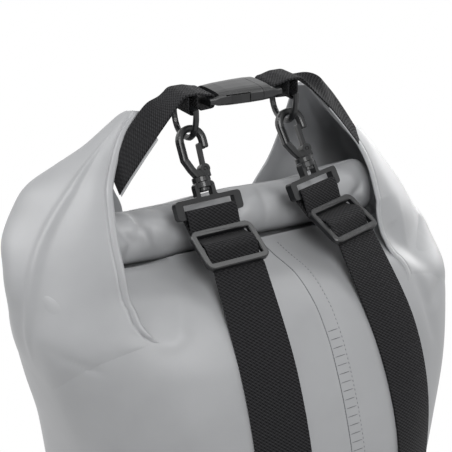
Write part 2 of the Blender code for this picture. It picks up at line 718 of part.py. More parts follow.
def hook_mesh():
    over = arc(0, EYE_CENTRE, SPINE_X, 180, 0, HOOK_ARC_STEPS)
    nose = (SPINE_X, EYE_CENTRE - HOOK_NOSE_DROP)
    path = HOOK_FOOT + [(-SPINE_X, HOOK_SPINE_START)] + over + [nose]
    bar = extrusion([band(path, HOOK_BAR)], HOOK_THICKNESS, upright=True)
    bar = rounded(bar, HOOK_EDGE, HOOK_EDGE_STEPS)
    lug = cylinder(GATE_LUG_RADIUS, HOOK_THICKNESS, (GATE_PIVOT_X, 0, GATE_PIVOT_Z), "Y", 20)
    root_low = -SPINE_X / 2
    root_high = GATE_PIVOT_X + GATE_LUG_RADIUS - COLLAR_EDGE
    root = block((root_high - root_low, HOOK_THICKNESS - COLLAR_EDGE, GATE_PIVOT_Z),
                 ((root_low + root_high) / 2, 0, GATE_PIVOT_Z / 2 - COLLAR_EDGE))
    spindle = turned([(0.0, COLLAR_EDGE), (COLLAR_RADIUS - COLLAR_EDGE, COLLAR_EDGE), (COLLAR_RADIUS, 0.0),
                      (COLLAR_RADIUS, -COLLAR_HEIGHT), (SWIVEL_PIN_RADIUS, -COLLAR_HEIGHT),
                      (SWIVEL_PIN_RADIUS, HEAD_TOP), (SWIVEL_HEAD_RADIUS, HEAD_TOP),
                      (SWIVEL_HEAD_RADIUS, HEAD_TOP - SWIVEL_HEAD_HEIGHT + COLLAR_EDGE),
                      (SWIVEL_HEAD_RADIUS - COLLAR_EDGE, HEAD_TOP - SWIVEL_HEAD_HEIGHT),
                      (0.0, HEAD_TOP - SWIVEL_HEAD_HEIGHT)])
    steps = [("UNION", lug), ("UNION", root), ("UNION", spindle)]
    room = GATE_WIDTH / 2 + GATE_FORK_ROOM
    fork = block((HOOK_REACH, GATE_THICKNESS + 2 * PIVOT_PLAY, HOOK_REACH),
                 (GATE_PIVOT_X - room + HOOK_REACH / 2, 0, GATE_PIVOT_Z - room + HOOK_REACH / 2))
    eye = cylinder(GATE_PIN_RADIUS + PIVOT_PLAY, HOOK_THICKNESS * 2, (GATE_PIVOT_X, 0, GATE_PIVOT_Z), "Y", 16)
    steps += [("DIFFERENCE", fork), ("DIFFERENCE", eye)]
    groove_path = [(-SPINE_X, HOOK_SPINE_START), (-SPINE_X, EYE_CENTRE)]
    for face in (-1, 1):
        groove = extrusion([band(groove_path, HOOK_BAR * HOOK_GROOVE_SHARE)], HOOK_GROOVE * 2, upright=True)
        groove.transform(Matrix.Translation((0, face * HOOK_THICKNESS / 2, 0)))
        steps.append(("DIFFERENCE", groove))
    return combine(bar, *steps)


def gate_mesh():
    """A spring gate with its pin, the pivot at the origin and the tip behind the hook's nose."""
    half = GATE_WIDTH / 2
    tip = EYE_CENTRE - HOOK_NOSE_DROP + GATE_LAP - GATE_PIVOT_Z
    lean = HOOK_EYE_RADIUS - FIT_GAP - half - GATE_PIVOT_X
    outline = arc(0, 0, half, 180, 360, 8) + arc(lean, tip, half, 0, 180, 8)
    arm = extrusion([outline], GATE_THICKNESS, upright=True)
    return combine(arm, ("UNION", cylinder(GATE_PIN_RADIUS, HOOK_THICKNESS, (0, 0, 0), "Y", 16)))


def fixture_mesh():
    """A flat frame with a yoke for the swivel pin, and a slot and bar that the strap goes round."""
    half = FIXTURE_WIDTH / 2
    yoke = FIXTURE_YOKE_WIDTH / 2
    shoulder = WINDOW_TOP + FIXTURE_TOP_BAR
    corner = FIXTURE_CORNER
    outline = arc(half - corner, FIXTURE_BOTTOM + corner, corner, -90, 0, 3)
    outline += arc(half - corner, shoulder - corner, corner, 0, 90, 3)
    outline += arc(yoke + FIXTURE_ROOT, shoulder + FIXTURE_ROOT, FIXTURE_ROOT, 270, 180, 3)
    outline += arc(yoke - corner, RING_TOP - corner, corner, 0, 90, 3)
    outline += [(-x, z) for x, z in reversed(outline)]
    strap_slot = rounded_rectangle(STRAP_WIDTH / 2 + PIVOT_PLAY, WINDOW_BOTTOM, WINDOW_TOP, HOLE_CORNER)
    pin_window = rounded_rectangle(SWIVEL_HEAD_RADIUS + PIVOT_PLAY, YOKE_FLOOR, RING_BOTTOM, HOLE_CORNER)
    frame = extrusion([outline, strap_slot, pin_window], FIXTURE_THICKNESS, upright=True)
    level = (0, 0, (RING_TOP + RING_BOTTOM) / 2)
    ring = cylinder(COLLAR_RADIUS, FIXTURE_RING_HEIGHT - FIT_GAP, level, segments=28)
    bore = cylinder(SWIVEL_PIN_RADIUS + PIVOT_PLAY, FIXTURE_RING_HEIGHT * 2, level)
    return combine(frame, ("UNION", ring), ("DIFFERENCE", bore))


SLIDER_HALF_LENGTH = SLIDER_MIDDLE_BAR / 2 + SLIDER_WINDOW + SLIDER_BAR


def slider_mesh():
    """A three-bar ladder that the strap weaves through."""
    half = STRAP_WIDTH / 2 + PIVOT_PLAY
    outline = rounded_rectangle(half + SLIDER_SIDE, -SLIDER_HALF_LENGTH, SLIDER_HALF_LENGTH, SLIDER_CORNER, 5)
    inner = SLIDER_MIDDLE_BAR / 2
    outer = inner + SLIDER_WINDOW
    holes = [rounded_rectangle(half, inner, outer, HOLE_CORNER),
             rounded_rectangle(half, -outer, -inner, HOLE_CORNER)]
    return rounded(extrusion([outline] + holes, SLIDER_THICKNESS), SLIDER_EDGE)


hook = hook_mesh()
gate = gate_mesh()
fixture = fixture_mesh()
slider = slider_mesh()


def strap_frame(side, turn):
    """Where a strap's hook sits on its D-ring, turned to the strap's plane: -Y runs outwards."""
    seat = (side * D_RING_X, -HOOK_SEAT_OUT, HANDLE_HEIGHT - D_RING_DROP - d_ring_fall(HOOK_SEAT_OUT))
    return Matrix.Translation(seat) @ Matrix.Rotation(turn, 4, "Z")


def swivel_frame(frame):
    """Top of the swivel collar, with Z up along the swivel's axis."""
    collar = (0, -HOOK_REACH * math.sin(HOOK_TILT), -HOOK_REACH * math.cos(HOOK_TILT))
    return frame @ Matrix.Translation(collar) @ Matrix.Rotation(-HOOK_TILT, 4, "X")


def slider_frame(frame):
    """Middle of the slider, with Y up along the strap and Z outwards."""
    tilt = Matrix.Rotation(math.radians(90) - SLIDER_TILT, 4, "X")
    return frame @ Matrix.Translation((0, -SLIDER_OUT, -SLIDER_FALL)) @ tilt


def reach_to_bag(frame, height, lateral=0.0):
    """How far outwards the bag's face is in a strap's plane at a height above the floor."""
    wide, middle, deep, power = bag_section(height)
    near = 0.0
    far = 2 * BASE_RADIUS
    for _ in range(40):
        half_way = (near + far) / 2
        spot = frame @ Vector((lateral, -half_way, 0))
        inside = abs(spot.x / wide) ** power + abs((spot.y - middle) / deep) ** power < 1
        near, far = (half_way, far) if inside else (near, half_way)
    return near


def in_plane(frame, place, point):
    """A point of a piece's own frame as (outwards, height) in the strap's plane."""
    spot = frame.inverted() @ place @ Vector(point)
    return (-spot.y, spot.z)


def strap_band(path, width, thickness):
    """A strip along (outwards, height) points, its width across the strap's plane."""
    mesh = extrusion([band(path, thickness)], width, upright=True)
    mesh.transform(Matrix.Rotation(math.radians(-90), 4, "Z"))
    return mesh


def bag_heights(low, high):
    """The heights of the bag's rings between two limits, with both limits."""
    return [low] + [z for z in RING_HEIGHTS if low + RING_MARGIN < z < high - RING_MARGIN] + [high]


def bag_row(frame, height, width, lift, columns):
    """Points across the bag's face at one height, from one edge of a sheet to the other."""
    row = []
    for i in range(columns + 1):
        lateral = width * (i / columns - 0.5)
        out = reach_to_bag(frame, height, lateral) + lift
        row.append(frame @ Vector((lateral, -out, height - frame.translation.z)))
    return row


def sheet(rows, thickness):
    """A sheet through rows of points, listed upwards, with its thickness on the outside."""
    shape = bmesh.new()
    grid = [[shape.verts.new(point) for point in row] for row in rows]
    for below, above in zip(grid, grid[1:]):
        for i in range(len(below) - 1):
            shape.faces.new((below[i], below[i + 1], above[i + 1], above[i]))
    mesh = bpy.data.meshes.new("sheet")
    shape.to_mesh(mesh)
    shape.free()
    work = bpy.data.objects.new("work", mesh)
    cutters.objects.link(work)
    wall = work.modifiers.new("wall", "SOLIDIFY")
    wall.thickness = thickness
    wall.offset = 1.0
    result = baked(work)
    bpy.data.objects.remove(work, do_unlink=True)
    return result


def bag_patch(frame, low, high, width, thickness, columns):
    """A sheet that lies on the bag's face between two heights."""
    return sheet([bag_row(frame, z, width, PATCH_LIFT, columns) for z in bag_heights(low, high)], thickness)


# Straps: sewn end, round the fixture's bar, through the slider, then over the bag to a welded patch.
UNDER_BAR = -(SLIDER_THICKNESS / 2 + WEB_OFFSET)
OVER_BAR = -UNDER_BAR
SEWN_LAYER = UNDER_BAR - WEB_THICKNESS - FIT_GAP
WINDOW_REST = SLIDER_MIDDLE_BAR / 2 + SLIDER_WINDOW - SLIDER_WEB_GAP
LOOP_END = SLIDER_HALF_LENGTH + WEB_THICKNESS


def loop_path(frame, swivel, ladder):
    over = FIXTURE_BAR / 2 + WEB_OFFSET
    beside = FIXTURE_THICKNESS / 2 + WEB_OFFSET
    corner = WEB_OFFSET
    top = BAR_LEVEL + over - corner
    points = [in_plane(frame, ladder, (0, y, SEWN_LAYER)) for y in (0.0, LOOP_END)]
    wrap = [(beside, BAR_LEVEL - FIXTURE_BAR / 2)]
    wrap += arc(beside - corner, top, corner, 0, 90, 3) + arc(corner - beside, top, corner, 90, 180, 3)
    wrap += [(-beside, BAR_LEVEL - FIXTURE_BAR / 2)]
    points += [in_plane(frame, swivel, (0, y, z)) for y, z in wrap]
    crest = SLIDER_MIDDLE_BAR / 2 + SLIDER_WEAVE_EASE
    weave = [(LOOP_END, UNDER_BAR), (WINDOW_REST, UNDER_BAR), (crest, OVER_BAR),
             (-crest, OVER_BAR), (-WINDOW_REST, UNDER_BAR), (-LOOP_END, UNDER_BAR)]
    points += [in_plane(frame, ladder, (0, y, n)) for y, n in weave]
    return points


for side_name, side, turn in STRAP_SIDES:
    seat = strap_frame(side, turn)
    swivel = swivel_frame(seat)
    ladder = slider_frame(seat)
    hooked = swivel @ Matrix.Rotation(-turn, 4, "Z")
    add_part("snap_hook_" + side_name, hook, NYLON, hooked)
    pivot = hooked @ Matrix.Translation((GATE_PIVOT_X, 0, GATE_PIVOT_Z))
    add_part("hook_gate_" + side_name, gate, NYLON, pivot)
    add_part("swivel_fixture_" + side_name, fixture, NYLON, swivel)
    add_part("strap_slider_" + side_name, slider, NYLON, ladder)
    add_part("strap_loop_" + side_name,
             strap_band(loop_path(seat, swivel, ladder), STRAP_WIDTH, WEB_THICKNESS), WEBBING, seat)
    patch_top = PATCH_BOTTOM + PATCH_HEIGHT
    contact = HANDLE_HEIGHT - STRAP_CONTACT_DROP
    on_patch = PATCH_LIFT + PATCH_THICKNESS + STRAP_LIFT
    rows = [bag_row(seat, z, STRAP_WIDTH, on_patch, STRAP_COLUMNS)
            for z in (STRAP_END_HEIGHT, patch_top + STRAP_STEP)]
    rows += [bag_row(seat, z, STRAP_WIDTH, STRAP_LIFT, STRAP_COLUMNS)
             for z in bag_heights(patch_top + 3 * STRAP_STEP, contact)]
    rows.append([ladder @ Vector((STRAP_WIDTH * (i / STRAP_COLUMNS - 0.5), -LOOP_END - FIT_GAP,
                                  UNDER_BAR - WEB_THICKNESS / 2)) for i in range(STRAP_COLUMNS + 1)])
    add_part("shoulder_strap_" + side_name, sheet(rows, WEB_THICKNESS), WEBBING)
    patch = bag_patch(seat, PATCH_BOTTOM, patch_top, PATCH_WIDTH, PATCH_THICKNESS, PATCH_COLUMNS)
    add_part("strap_patch_" + side_name, patch, TARPAULIN_TAPE)

# Seam tape: welded over the join of the tube.
seam_plane = Matrix.Translation((SEAM_ASIDE, 0, HANDLE_HEIGHT)) @ Matrix.Rotation(SEAM_TURN, 4, "Z")
seam_top = HANDLE_HEIGHT - SEAM_TOP_DROP
seam = bag_patch(seam_plane, SEAM_BOTTOM, seam_top, SEAM_WIDTH, SEAM_THICKNESS, SEAM_COLUMNS)
add_part("seam_tape", seam, TARPAULIN_TAPE)
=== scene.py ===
import math

import bmesh
import bpy
import numpy as np
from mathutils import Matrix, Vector


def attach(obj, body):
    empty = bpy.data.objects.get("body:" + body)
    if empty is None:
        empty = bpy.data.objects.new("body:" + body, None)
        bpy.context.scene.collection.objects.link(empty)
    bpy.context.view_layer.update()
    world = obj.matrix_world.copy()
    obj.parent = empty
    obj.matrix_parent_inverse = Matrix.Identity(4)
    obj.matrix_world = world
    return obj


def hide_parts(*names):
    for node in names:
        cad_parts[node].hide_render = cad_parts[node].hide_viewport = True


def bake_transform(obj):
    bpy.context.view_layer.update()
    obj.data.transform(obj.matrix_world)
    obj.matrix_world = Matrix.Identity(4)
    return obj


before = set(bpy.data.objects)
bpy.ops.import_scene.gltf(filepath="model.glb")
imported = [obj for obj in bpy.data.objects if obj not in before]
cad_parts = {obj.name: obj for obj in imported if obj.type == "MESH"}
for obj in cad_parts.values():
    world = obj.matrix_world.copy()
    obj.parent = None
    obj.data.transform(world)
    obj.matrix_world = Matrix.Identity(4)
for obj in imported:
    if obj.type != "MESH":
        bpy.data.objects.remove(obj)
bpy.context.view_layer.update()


# Studio
# A pale sweep of floor under large soft lamps, seen from the front left and a little above,
# close to the top of the bag as in a catalogue picture.
handle_middle = Vector((0.0, 0.0, 0.600))
view_turn = math.radians(-30.0)
view_rise = math.radians(21.5)
view_angle = math.radians(17.0)
view_distance = 1.0
aim_left, aim_down = 0.006, 0.089
forwards = Vector((-math.sin(view_turn) * math.cos(view_rise),
                   math.cos(view_turn) * math.cos(view_rise),
                   -math.sin(view_rise)))
rightwards = Vector((math.cos(view_turn), math.sin(view_turn), 0.0))
upwards = rightwards.cross(forwards)


def new_object(name, data):
    """An object of its data, linked into the scene."""
    made = bpy.data.objects.new(name, data)
    bpy.context.scene.collection.objects.link(made)
    return made


camera_data = bpy.data.cameras.new("camera")
camera_data.sensor_fit = "HORIZONTAL"
camera_data.angle = view_angle
camera = new_object("camera", camera_data)
camera.location = handle_middle - aim_left * rightwards - aim_down * upwards - view_distance * forwards
camera.rotation_euler = forwards.to_track_quat("-Z", "Y").to_euler()
bpy.context.scene.camera = camera
bpy.context.scene.view_settings.view_transform = "Standard"


def to_linear(hex_colour):
    """Linear RGBA from an sRGB hex colour."""
    channels = [int(hex_colour[i:i + 2], 16) / 255 for i in (1, 3, 5)]
    linear = [c / 12.92 if c <= 0.04045 else ((c + 0.055) / 1.055) ** 2.4 for c in channels]
    return (*linear, 1.0)


def set_node(tree, node, inputs=None, links=None):
    """Set a node's sockets, and link others from (node, output) pairs."""
    for name, value in (inputs or {}).items():
        node.inputs[name].default_value = value
    for name, (source, output) in (links or {}).items():
        tree.links.new(source.outputs[output], node.inputs[name])
    return node


def add_node(tree, kind, inputs=None, links=None, stops=(), **settings):
    """Add a node with its own settings and colour stops, and set and link its sockets."""
    node = tree.nodes.new(kind)
    for name, value in settings.items():
        setattr(node, name, value)
    for i, (position, colour) in enumerate(stops):
        node.color_ramp.elements[i].position = position
        node.color_ramp.elements[i].color = to_linear(colour)
    return set_node(tree, node, inputs, links)


# Softboxes: where they hang, side length and power. All point at the top of the bag.
lit_middle = Vector((0.0, 0.0, 0.50))
for name, place, size, watts in (
        ("softbox_front", (-0.30, -1.30, 1.45), 0.7, 16.0),
        ("softbox_left", (-1.15, 0.65, 1.35), 0.7, 14.0),
        ("softbox_top", (0.50, -0.20, 1.80), 0.8, 6.0),
        ("softbox_right", (1.20, 0.55, 0.75), 0.7, 8.0)):
    lamp_data = bpy.data.lights.new(name, "AREA")
    lamp_data.size = size
    lamp_data.energy = watts
    lamp = new_object(name, lamp_data)
    lamp.location = place
    lamp.rotation_euler = (lit_middle - lamp.location).to_track_quat("-Z", "Y").to_euler()


def white_when_seen(tree):
    """1 for a ray from the camera, or one that a glossy or clear surface sends on, and 0 for plain light."""
    path = add_node(tree, "ShaderNodeLightPath")
    mirrored = add_node(tree, "ShaderNodeMath", links={
        0: (path, "Is Camera Ray"), 1: (path, "Is Glossy Ray")}, operation="MAXIMUM")
    return add_node(tree, "ShaderNodeMath", links={
        0: (mirrored, "Value"), 1: (path, "Is Transmission Ray")}, operation="MAXIMUM")


# The room is a soft even grey, and white where the camera or a reflection sees it.
room = bpy.data.worlds.new("room")
room.use_nodes = True
bpy.context.scene.world = room
room_tree = room.node_tree
room_tree.nodes.clear()
room_seen = white_when_seen(room_tree)
room_glow = add_node(room_tree, "ShaderNodeBackground", {"Color": to_linear("#ffffff"), "Strength": 0.16})
room_white = add_node(room_tree, "ShaderNodeBackground", {"Color": to_linear("#ffffff"), "Strength": 1.0})
room_mix = add_node(room_tree, "ShaderNodeMixShader", links={
    "Fac": (room_seen, "Value"), 1: (room_glow, "Background"), 2: (room_white, "Background")})
add_node(room_tree, "ShaderNodeOutputWorld", links={"Surface": (room_mix, "Shader")})

floor_half, floor_drop = 6.0, 0.0006
floor_mesh = bpy.data.meshes.new("floor")
floor_mesh.from_pydata([(x * floor_half, y * floor_half, -floor_drop)
                        for x, y in ((-1, -1), (1, -1), (1, 1), (-1, 1))], [], [(0, 1, 2, 3)])
floor = new_object("floor", floor_mesh)
floor_paint = bpy.data.materials.new("pale_floor")
floor_paint.use_nodes = True
floor_tree = floor_paint.node_tree
floor_tree.nodes.clear()
# Near the bag the floor is half matt, so that it keeps the shadow; further off it is plain white.
floor_place = add_node(floor_tree, "ShaderNodeTexCoord")
floor_reach = add_node(floor_tree, "ShaderNodeVectorMath", links={0: (floor_place, "Object")},
                       operation="LENGTH")
floor_share = add_node(floor_tree, "ShaderNodeMapRange", {"From Min": 0.15, "From Max": 0.62, "To Min": 0.55},
                       {"Value": (floor_reach, "Value")}, interpolation_type="SMOOTHSTEP")
floor_seen = add_node(floor_tree, "ShaderNodeMath", links={
    0: (white_when_seen(floor_tree), "Value"), 1: (floor_share, "Result")}, operation="MULTIPLY")
floor_matt = add_node(floor_tree, "ShaderNodeBsdfDiffuse", {"Color": to_linear("#e9e9e9")})
floor_white = add_node(floor_tree, "ShaderNodeEmission", {"Color": to_linear("#ffffff"), "Strength": 1.0})
floor_mix = add_node(floor_tree, "ShaderNodeMixShader", links={
    "Fac": (floor_seen, "Value"), 1: (floor_matt, "BSDF"), 2: (floor_white, "Emission")})
add_node(floor_tree, "ShaderNodeOutputMaterial", links={"Surface": (floor_mix, "Shader")})
floor_mesh.materials.append(floor_paint)


# Bag body
# A tube of heavy PVC-coated polyester tarpaulin, welded along the front, filled, and squeezed flat towards
# the top, where the front panel tucks in under the roll and the back panel runs over it.
def new_material(name):
    """A material with its tree and shader."""
    material = bpy.data.materials.new(name)
    material.use_nodes = True
    return material, material.node_tree, material.node_tree.nodes["Principled BSDF"]


# PVC tarpaulin: a smooth calendered coat over a plain-weave scrim. The coat gives broad satin highlights,
# the scrim a very fine grain (1.1 mm threads), and handling leaves slightly duller patches.
tarpaulin, tree, shader = new_material("pvc_tarpaulin")
dull_patch, scrim_thread, ripple_length = 0.045, 0.0011, 0.016
place = add_node(tree, "ShaderNodeTexCoord")
handling = add_node(tree, "ShaderNodeTexNoise", {"Scale": 1 / dull_patch, "Detail": 3.0, "Roughness": 0.55},
                    {"Vector": (place, "Object")})
tone = add_node(tree, "ShaderNodeValToRGB", links={"Fac": (handling, "Fac")},
                stops=((0.30, "#9c9d9f"), (0.72, "#a4a5a7")))
dull = add_node(tree, "ShaderNodeMapRange", {"To Min": 0.40, "To Max": 0.50}, {"Value": (handling, "Fac")})
scrim = add_node(tree, "ShaderNodeTexVoronoi", {"Scale": 1 / scrim_thread, "Randomness": 0.6},
                 {"Vector": (place, "Object")})
ripple = add_node(tree, "ShaderNodeTexNoise", {"Scale": 1 / ripple_length, "Detail": 2.0},
                  {"Vector": (place, "Object")})
grain = add_node(tree, "ShaderNodeBump", {"Strength": 0.05, "Distance": 0.0003},
                 {"Height": (scrim, "Distance")})
soft = add_node(tree, "ShaderNodeBump", {"Strength": 0.07, "Distance": 0.0012},
                {"Height": (ripple, "Fac"), "Normal": (grain, "Normal")})
set_node(tree, shader, {"IOR": 1.50},
         {"Base Color": (tone, "Color"), "Roughness": (dull, "Result"), "Normal": (soft, "Normal")})


def smooth_step(low, high, value):
    """0 below low, 1 above high and a soft rise between them."""
    t = np.clip((value - low) / (high - low), 0.0, 1.0)
    return t * t * (3 - 2 * t)


def curve_between(low, high, low_slope, high_slope, span, t):
    """A smooth run from low to high with a slope at each end; t is the share of the span gone."""
    rise = low + (high - low) * t * t * (3 - 2 * t)
    return rise + low_slope * span * t * (1 - t) ** 2 + high_slope * span * t * t * (t - 1)


def smooth_through(rows, at):
    """Values on a smooth curve through rows of a place and its values, level at both ends."""
    knots, values = rows[:, 0], rows[:, 1:]
    slopes = np.zeros_like(values)
    slopes[1:-1] = (values[2:] - values[:-2]) / (knots[2:] - knots[:-2])[:, None]
    at = np.clip(at, knots[0], knots[-1])
    i = np.clip(np.searchsorted(knots, at, side="right") - 1, 0, len(knots) - 2)
    span = (knots[i + 1] - knots[i])[..., None]
    t = (at[..., None] - knots[i][..., None]) / span
    return curve_between(values[i], values[i + 1], slopes[i], slopes[i + 1], span, t)


# Height above the floor, half width, reach to the front and reach to the back in mm, and squareness
body_rows = np.array([
    (0, 130, 130, 130, 2.0), (240, 130, 130, 130, 2.0), (290, 131, 129.8, 130, 2.1),
    (370, 138, 124, 128.5, 2.4), (410, 148, 114, 124, 2.5), (446, 156, 100, 116, 2.5),
    (462, 157, 91, 109, 2.5), (476, 154, 80, 99, 2.5), (490, 151, 60, 83, 2.5), (496, 148, 37, 74, 2.5),
    (504, 140, 13, 59, 2.5), (512, 123, -2, 43, 2.5), (518, 108, -8, 29, 2.5), (522, 90, -12, 20, 2.5)])
body_rows[:, :4] /= 1000


def body_shift(height):
    """How far the filled bag leans to the right at heights above the floor."""
    return 0.003 * smooth_step(0.28, 0.42, height)


def body_section(height):
    """Half width, middle y, half depth and squareness of the body at heights above the floor."""
    wide, front, back, power = np.moveaxis(smooth_through(body_rows, height), -1, 0)
    return wide, (back - front) / 2, (back + front) / 2, power


slack_depth = 0.0006


def body_face(angle, height):
    """Points on the body's face at angles round it and heights above the floor."""
    angle, height = np.broadcast_arrays(angle, height)
    wide, middle, deep, power = body_section(height)
    c = np.cos(angle)
    s = np.sin(angle)
    # Fabric over gear: broad shallow unevenness, most at the sides and back and near the squeezed top.
    slack = np.clip((height - 0.05) / 0.40, 0.0, 1.0) ** 1.5
    from_front = np.abs((angle + np.pi / 2 + np.pi) % (2 * np.pi) - np.pi)
    slack = slack * (1 - np.exp(-(from_front / 0.9) ** 2))
    waves = (np.sin(3 * angle + 9 * height) + np.sin(5 * angle - 21 * height + 1.3)
             + 0.6 * np.sin(9 * angle + 34 * height + 0.4))
    out = slack_depth * slack * waves
    x = body_shift(height) + (wide + out) * np.sign(c) * np.abs(c) ** (2 / power)
    y = middle + (deep + out) * np.sign(s) * np.abs(s) ** (2 / power)
    return np.stack([x, y, height], -1)


def unit(ways):
    """Ways of length 1."""
    return ways / np.maximum(np.linalg.norm(ways, axis=-1, keepdims=True), 1e-12)


def grid_normals(grid, around=False):
    """Unit normals of a grid of points, from the points beside each one."""
    down = np.gradient(grid, axis=0)
    if around:
        along = (np.roll(grid, -1, axis=1) - np.roll(grid, 1, axis=1)) / 2
    else:
        along = np.gradient(grid, axis=1)
    return unit(np.cross(along, down))


def lengths_along(route):
    """Distance along a route of points at each of them."""
    return np.concatenate([[0.0], np.cumsum(np.linalg.norm(np.diff(route, axis=0), axis=1))])


def fold(points, normals, route, width, height):
    """Raise or sink a soft fold along a route of points; it fades out towards both ends."""
    route = np.asarray(route, float)
    start = lengths_along(route)
    nearest = np.full(points.shape[:-1], 1e9)
    share = np.zeros(points.shape[:-1])
    for i, run in enumerate(np.diff(route, axis=0)):
        t = np.clip(((points - route[i]) @ run) / (run @ run), 0.0, 1.0)
        gap = np.linalg.norm(points - (route[i] + t[..., None] * run), axis=-1)
        share = np.where(gap < nearest, (start[i] + t * (start[i + 1] - start[i])) / start[-1], share)
        nearest = np.minimum(gap, nearest)
    fade = np.sin(np.pi * np.clip(share, 0.02, 0.98)) ** 0.6
    return points + normals * (height * np.exp(-(nearest / width) ** 2) * fade)[..., None]


def from_mm(folds):
    """Folds with their route, half width and height in metres."""
    return [(np.array(route) / 1000, width / 1000, height / 1000) for route, width, height in folds]


sharp_edge = math.radians(50)


def face_piece(name, points, faces, material, corner_uv=None):
    """A smooth mesh object with its faces turned outwards."""
    mesh = bpy.data.meshes.new(name)
    mesh.from_pydata(points.reshape(-1, 3).tolist(), [], faces)
    if corner_uv is not None:
        mesh.uv_layers.new(name="weave").data.foreach_set("uv", np.asarray(corner_uv, float).reshape(-1))
    shape = bmesh.new()
    shape.from_mesh(mesh)
    bmesh.ops.recalc_face_normals(shape, faces=shape.faces)
    shape.to_mesh(mesh)
    shape.free()
    mesh.materials.append(material)
    mesh.shade_smooth()
    mesh.set_sharp_from_angle(angle=sharp_edge)
    return new_object(name, mesh)


def quads(rows, columns):
    """Corners, as (row, column), of the four-sided faces of a grid."""
    return [((r, c), (r, c + 1), (r + 1, c + 1), (r + 1, c)) for r in range(rows - 1) for c in range(columns)]


def numbered(corners, columns):
    """The same faces by point numbers; past the last column comes the first."""
    return [tuple(r * columns + c % columns for r, c in face) for face in corners]


def tube_piece(name, grid, material, uv=None):
    """A closed piece through loops of points, one loop to a row, capped at both ends."""
    rows, columns = grid.shape[:2]
    corners = quads(rows, columns)
    corners.append(tuple((0, c) for c in reversed(range(columns))))
    corners.append(tuple((rows - 1, c) for c in range(columns)))
    corner_uv = None if uv is None else [uv[r, c] for face in corners for r, c in face]
    return face_piece(name, grid, numbered(corners, columns), material, corner_uv)


body_heights = np.concatenate([np.linspace(0.0093, 0.30, 56), np.linspace(0.302, 0.522, 118)])
body_angles = np.linspace(0, 2 * np.pi, 360, endpoint=False)
body_grid = body_face(body_angles[None, :], body_heights[:, None])
# Creases and ridges pressed into the fabric: a route on the face, half width and height in mm
body_folds = from_mm((
    ([(-99.5, -73, 470), (-87.5, -74.4, 467.2), (-81.2, -73.3, 470.7), (-79, -66.8, 479),
      (-74.7, -56.3, 487.7)], 5, 0.9),
    ([(-153.8, -26.1, 459), (-149.8, -35.7, 457.5), (-130, -60.7, 450.6)], 2.4, -1.3),
    ([(-147.7, -19.4, 481.4), (-154.5, -26.1, 459), (-151, -30, 420), (-145, -33, 380)], 12, 0.8),
    ([(102.8, -69.4, 475.3), (107.2, -80.2, 450.7), (110, -86, 425)], 6, -2),
    ([(107.2, -80.2, 450.7), (120, -72, 454), (133, -58, 460)], 6, -2),
    ([(94, -38, 520), (99, -48, 500), (115, -51, 483), (133, -32, 486), (145, -15, 488)], 16, -7)))
for route, width, height in body_folds:
    body_grid = fold(body_grid, grid_normals(body_grid, around=True), route, width, height)
# At the foot the tube turns in over the base panel: heights, and the share of its girth that is left.
foot_loops = [body_face(body_angles[None, :], height) * np.array([girth, girth, 1.0])
              for height, girth in ((0.0033, 0.954), (0.0050, 0.985))]
# The front panel makes room for the roll that lies on it.
roll_y, roll_z, roll_radius = -0.0030, 0.5130, 0.0178
roll_room, roll_reach = 0.0015, 0.106
body_x, body_y, body_z = np.moveaxis(body_grid, -1, 0)
roll_half = np.clip((roll_radius + roll_room) ** 2 - (body_y - roll_y) ** 2, 0.0, None) ** 0.5
under_roll = (np.abs(body_x) < roll_reach) & (roll_half > 0) & (body_z < roll_z + roll_half)
body_grid[..., 2] = np.where(under_roll, np.minimum(body_z, roll_z - roll_half), body_z)
bag_body = tube_piece("bag_body", np.concatenate([*foot_loops, body_grid]), tarpaulin)
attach(bag_body, "bag")
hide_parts("bag_tube")


# Ears
# Where the ends of the rolled top are drawn up to the handle, the sides of the tube stand up as two ears.
# Each is the same tarpaulin, folded over towards the front along a hem that dives into the front panel.

# Drop below the handle, then x outwards and y of the front face, the outer ridge and the back edge, in mm
ear_rows = np.array([
    (6.5, 68, 14, 68.5, 16.5, 66.5, 19.5), (12, 74.5, 15, 73.5, 24, 67.5, 28.5),
    (20, 82.5, 15, 81, 29, 69, 37), (34, 96, 12, 95.5, 36, 70.5, 46), (47, 107.5, 6, 112.5, 45, 70.5, 52.5),
    (60, 116, 0, 129, 53, 69, 57), (75, 125, -5, 139, 54.5, 64, 60), (91, 134, -10, 149, 48, 56, 64),
    (107, 141, -16, 152.5, 38, 52, 72), (121, 145, -21, 154.5, 32, 54, 84),
    (140, 147.5, -24, 155, 30, 57, 95), (185, 148, -26, 153.5, 30, 60, 110)]) / 1000
# Drop, x outwards and y of the folded hem on each side, in mm
ear_hems = {
    "left": np.array([(6.5, 66, 12), (12, 70.5, 11.5), (20, 78.8, 8), (34, 88.5, 0), (47, 98, -12),
                      (60, 102, -22), (75, 105.5, -34), (91, 107, -45), (107, 107.2, -52), (113, 106.7, -57),
                      (121, 106.5, -64), (126, 104.3, -69.5), (130, 99, -73), (133, 87.5, -74.4)]) / 1000,
    "right": np.array([(6.5, 66.5, 14), (12, 69.5, 13.5), (20, 75.5, 11), (34, 85, 3), (47, 92, -10),
                       (60, 94, -22), (75, 93.5, -34), (91, 92.5, -44), (107, 93.5, -54), (121, 94, -64),
                       (126, 93, -69), (133, 87.5, -74.4)]) / 1000}
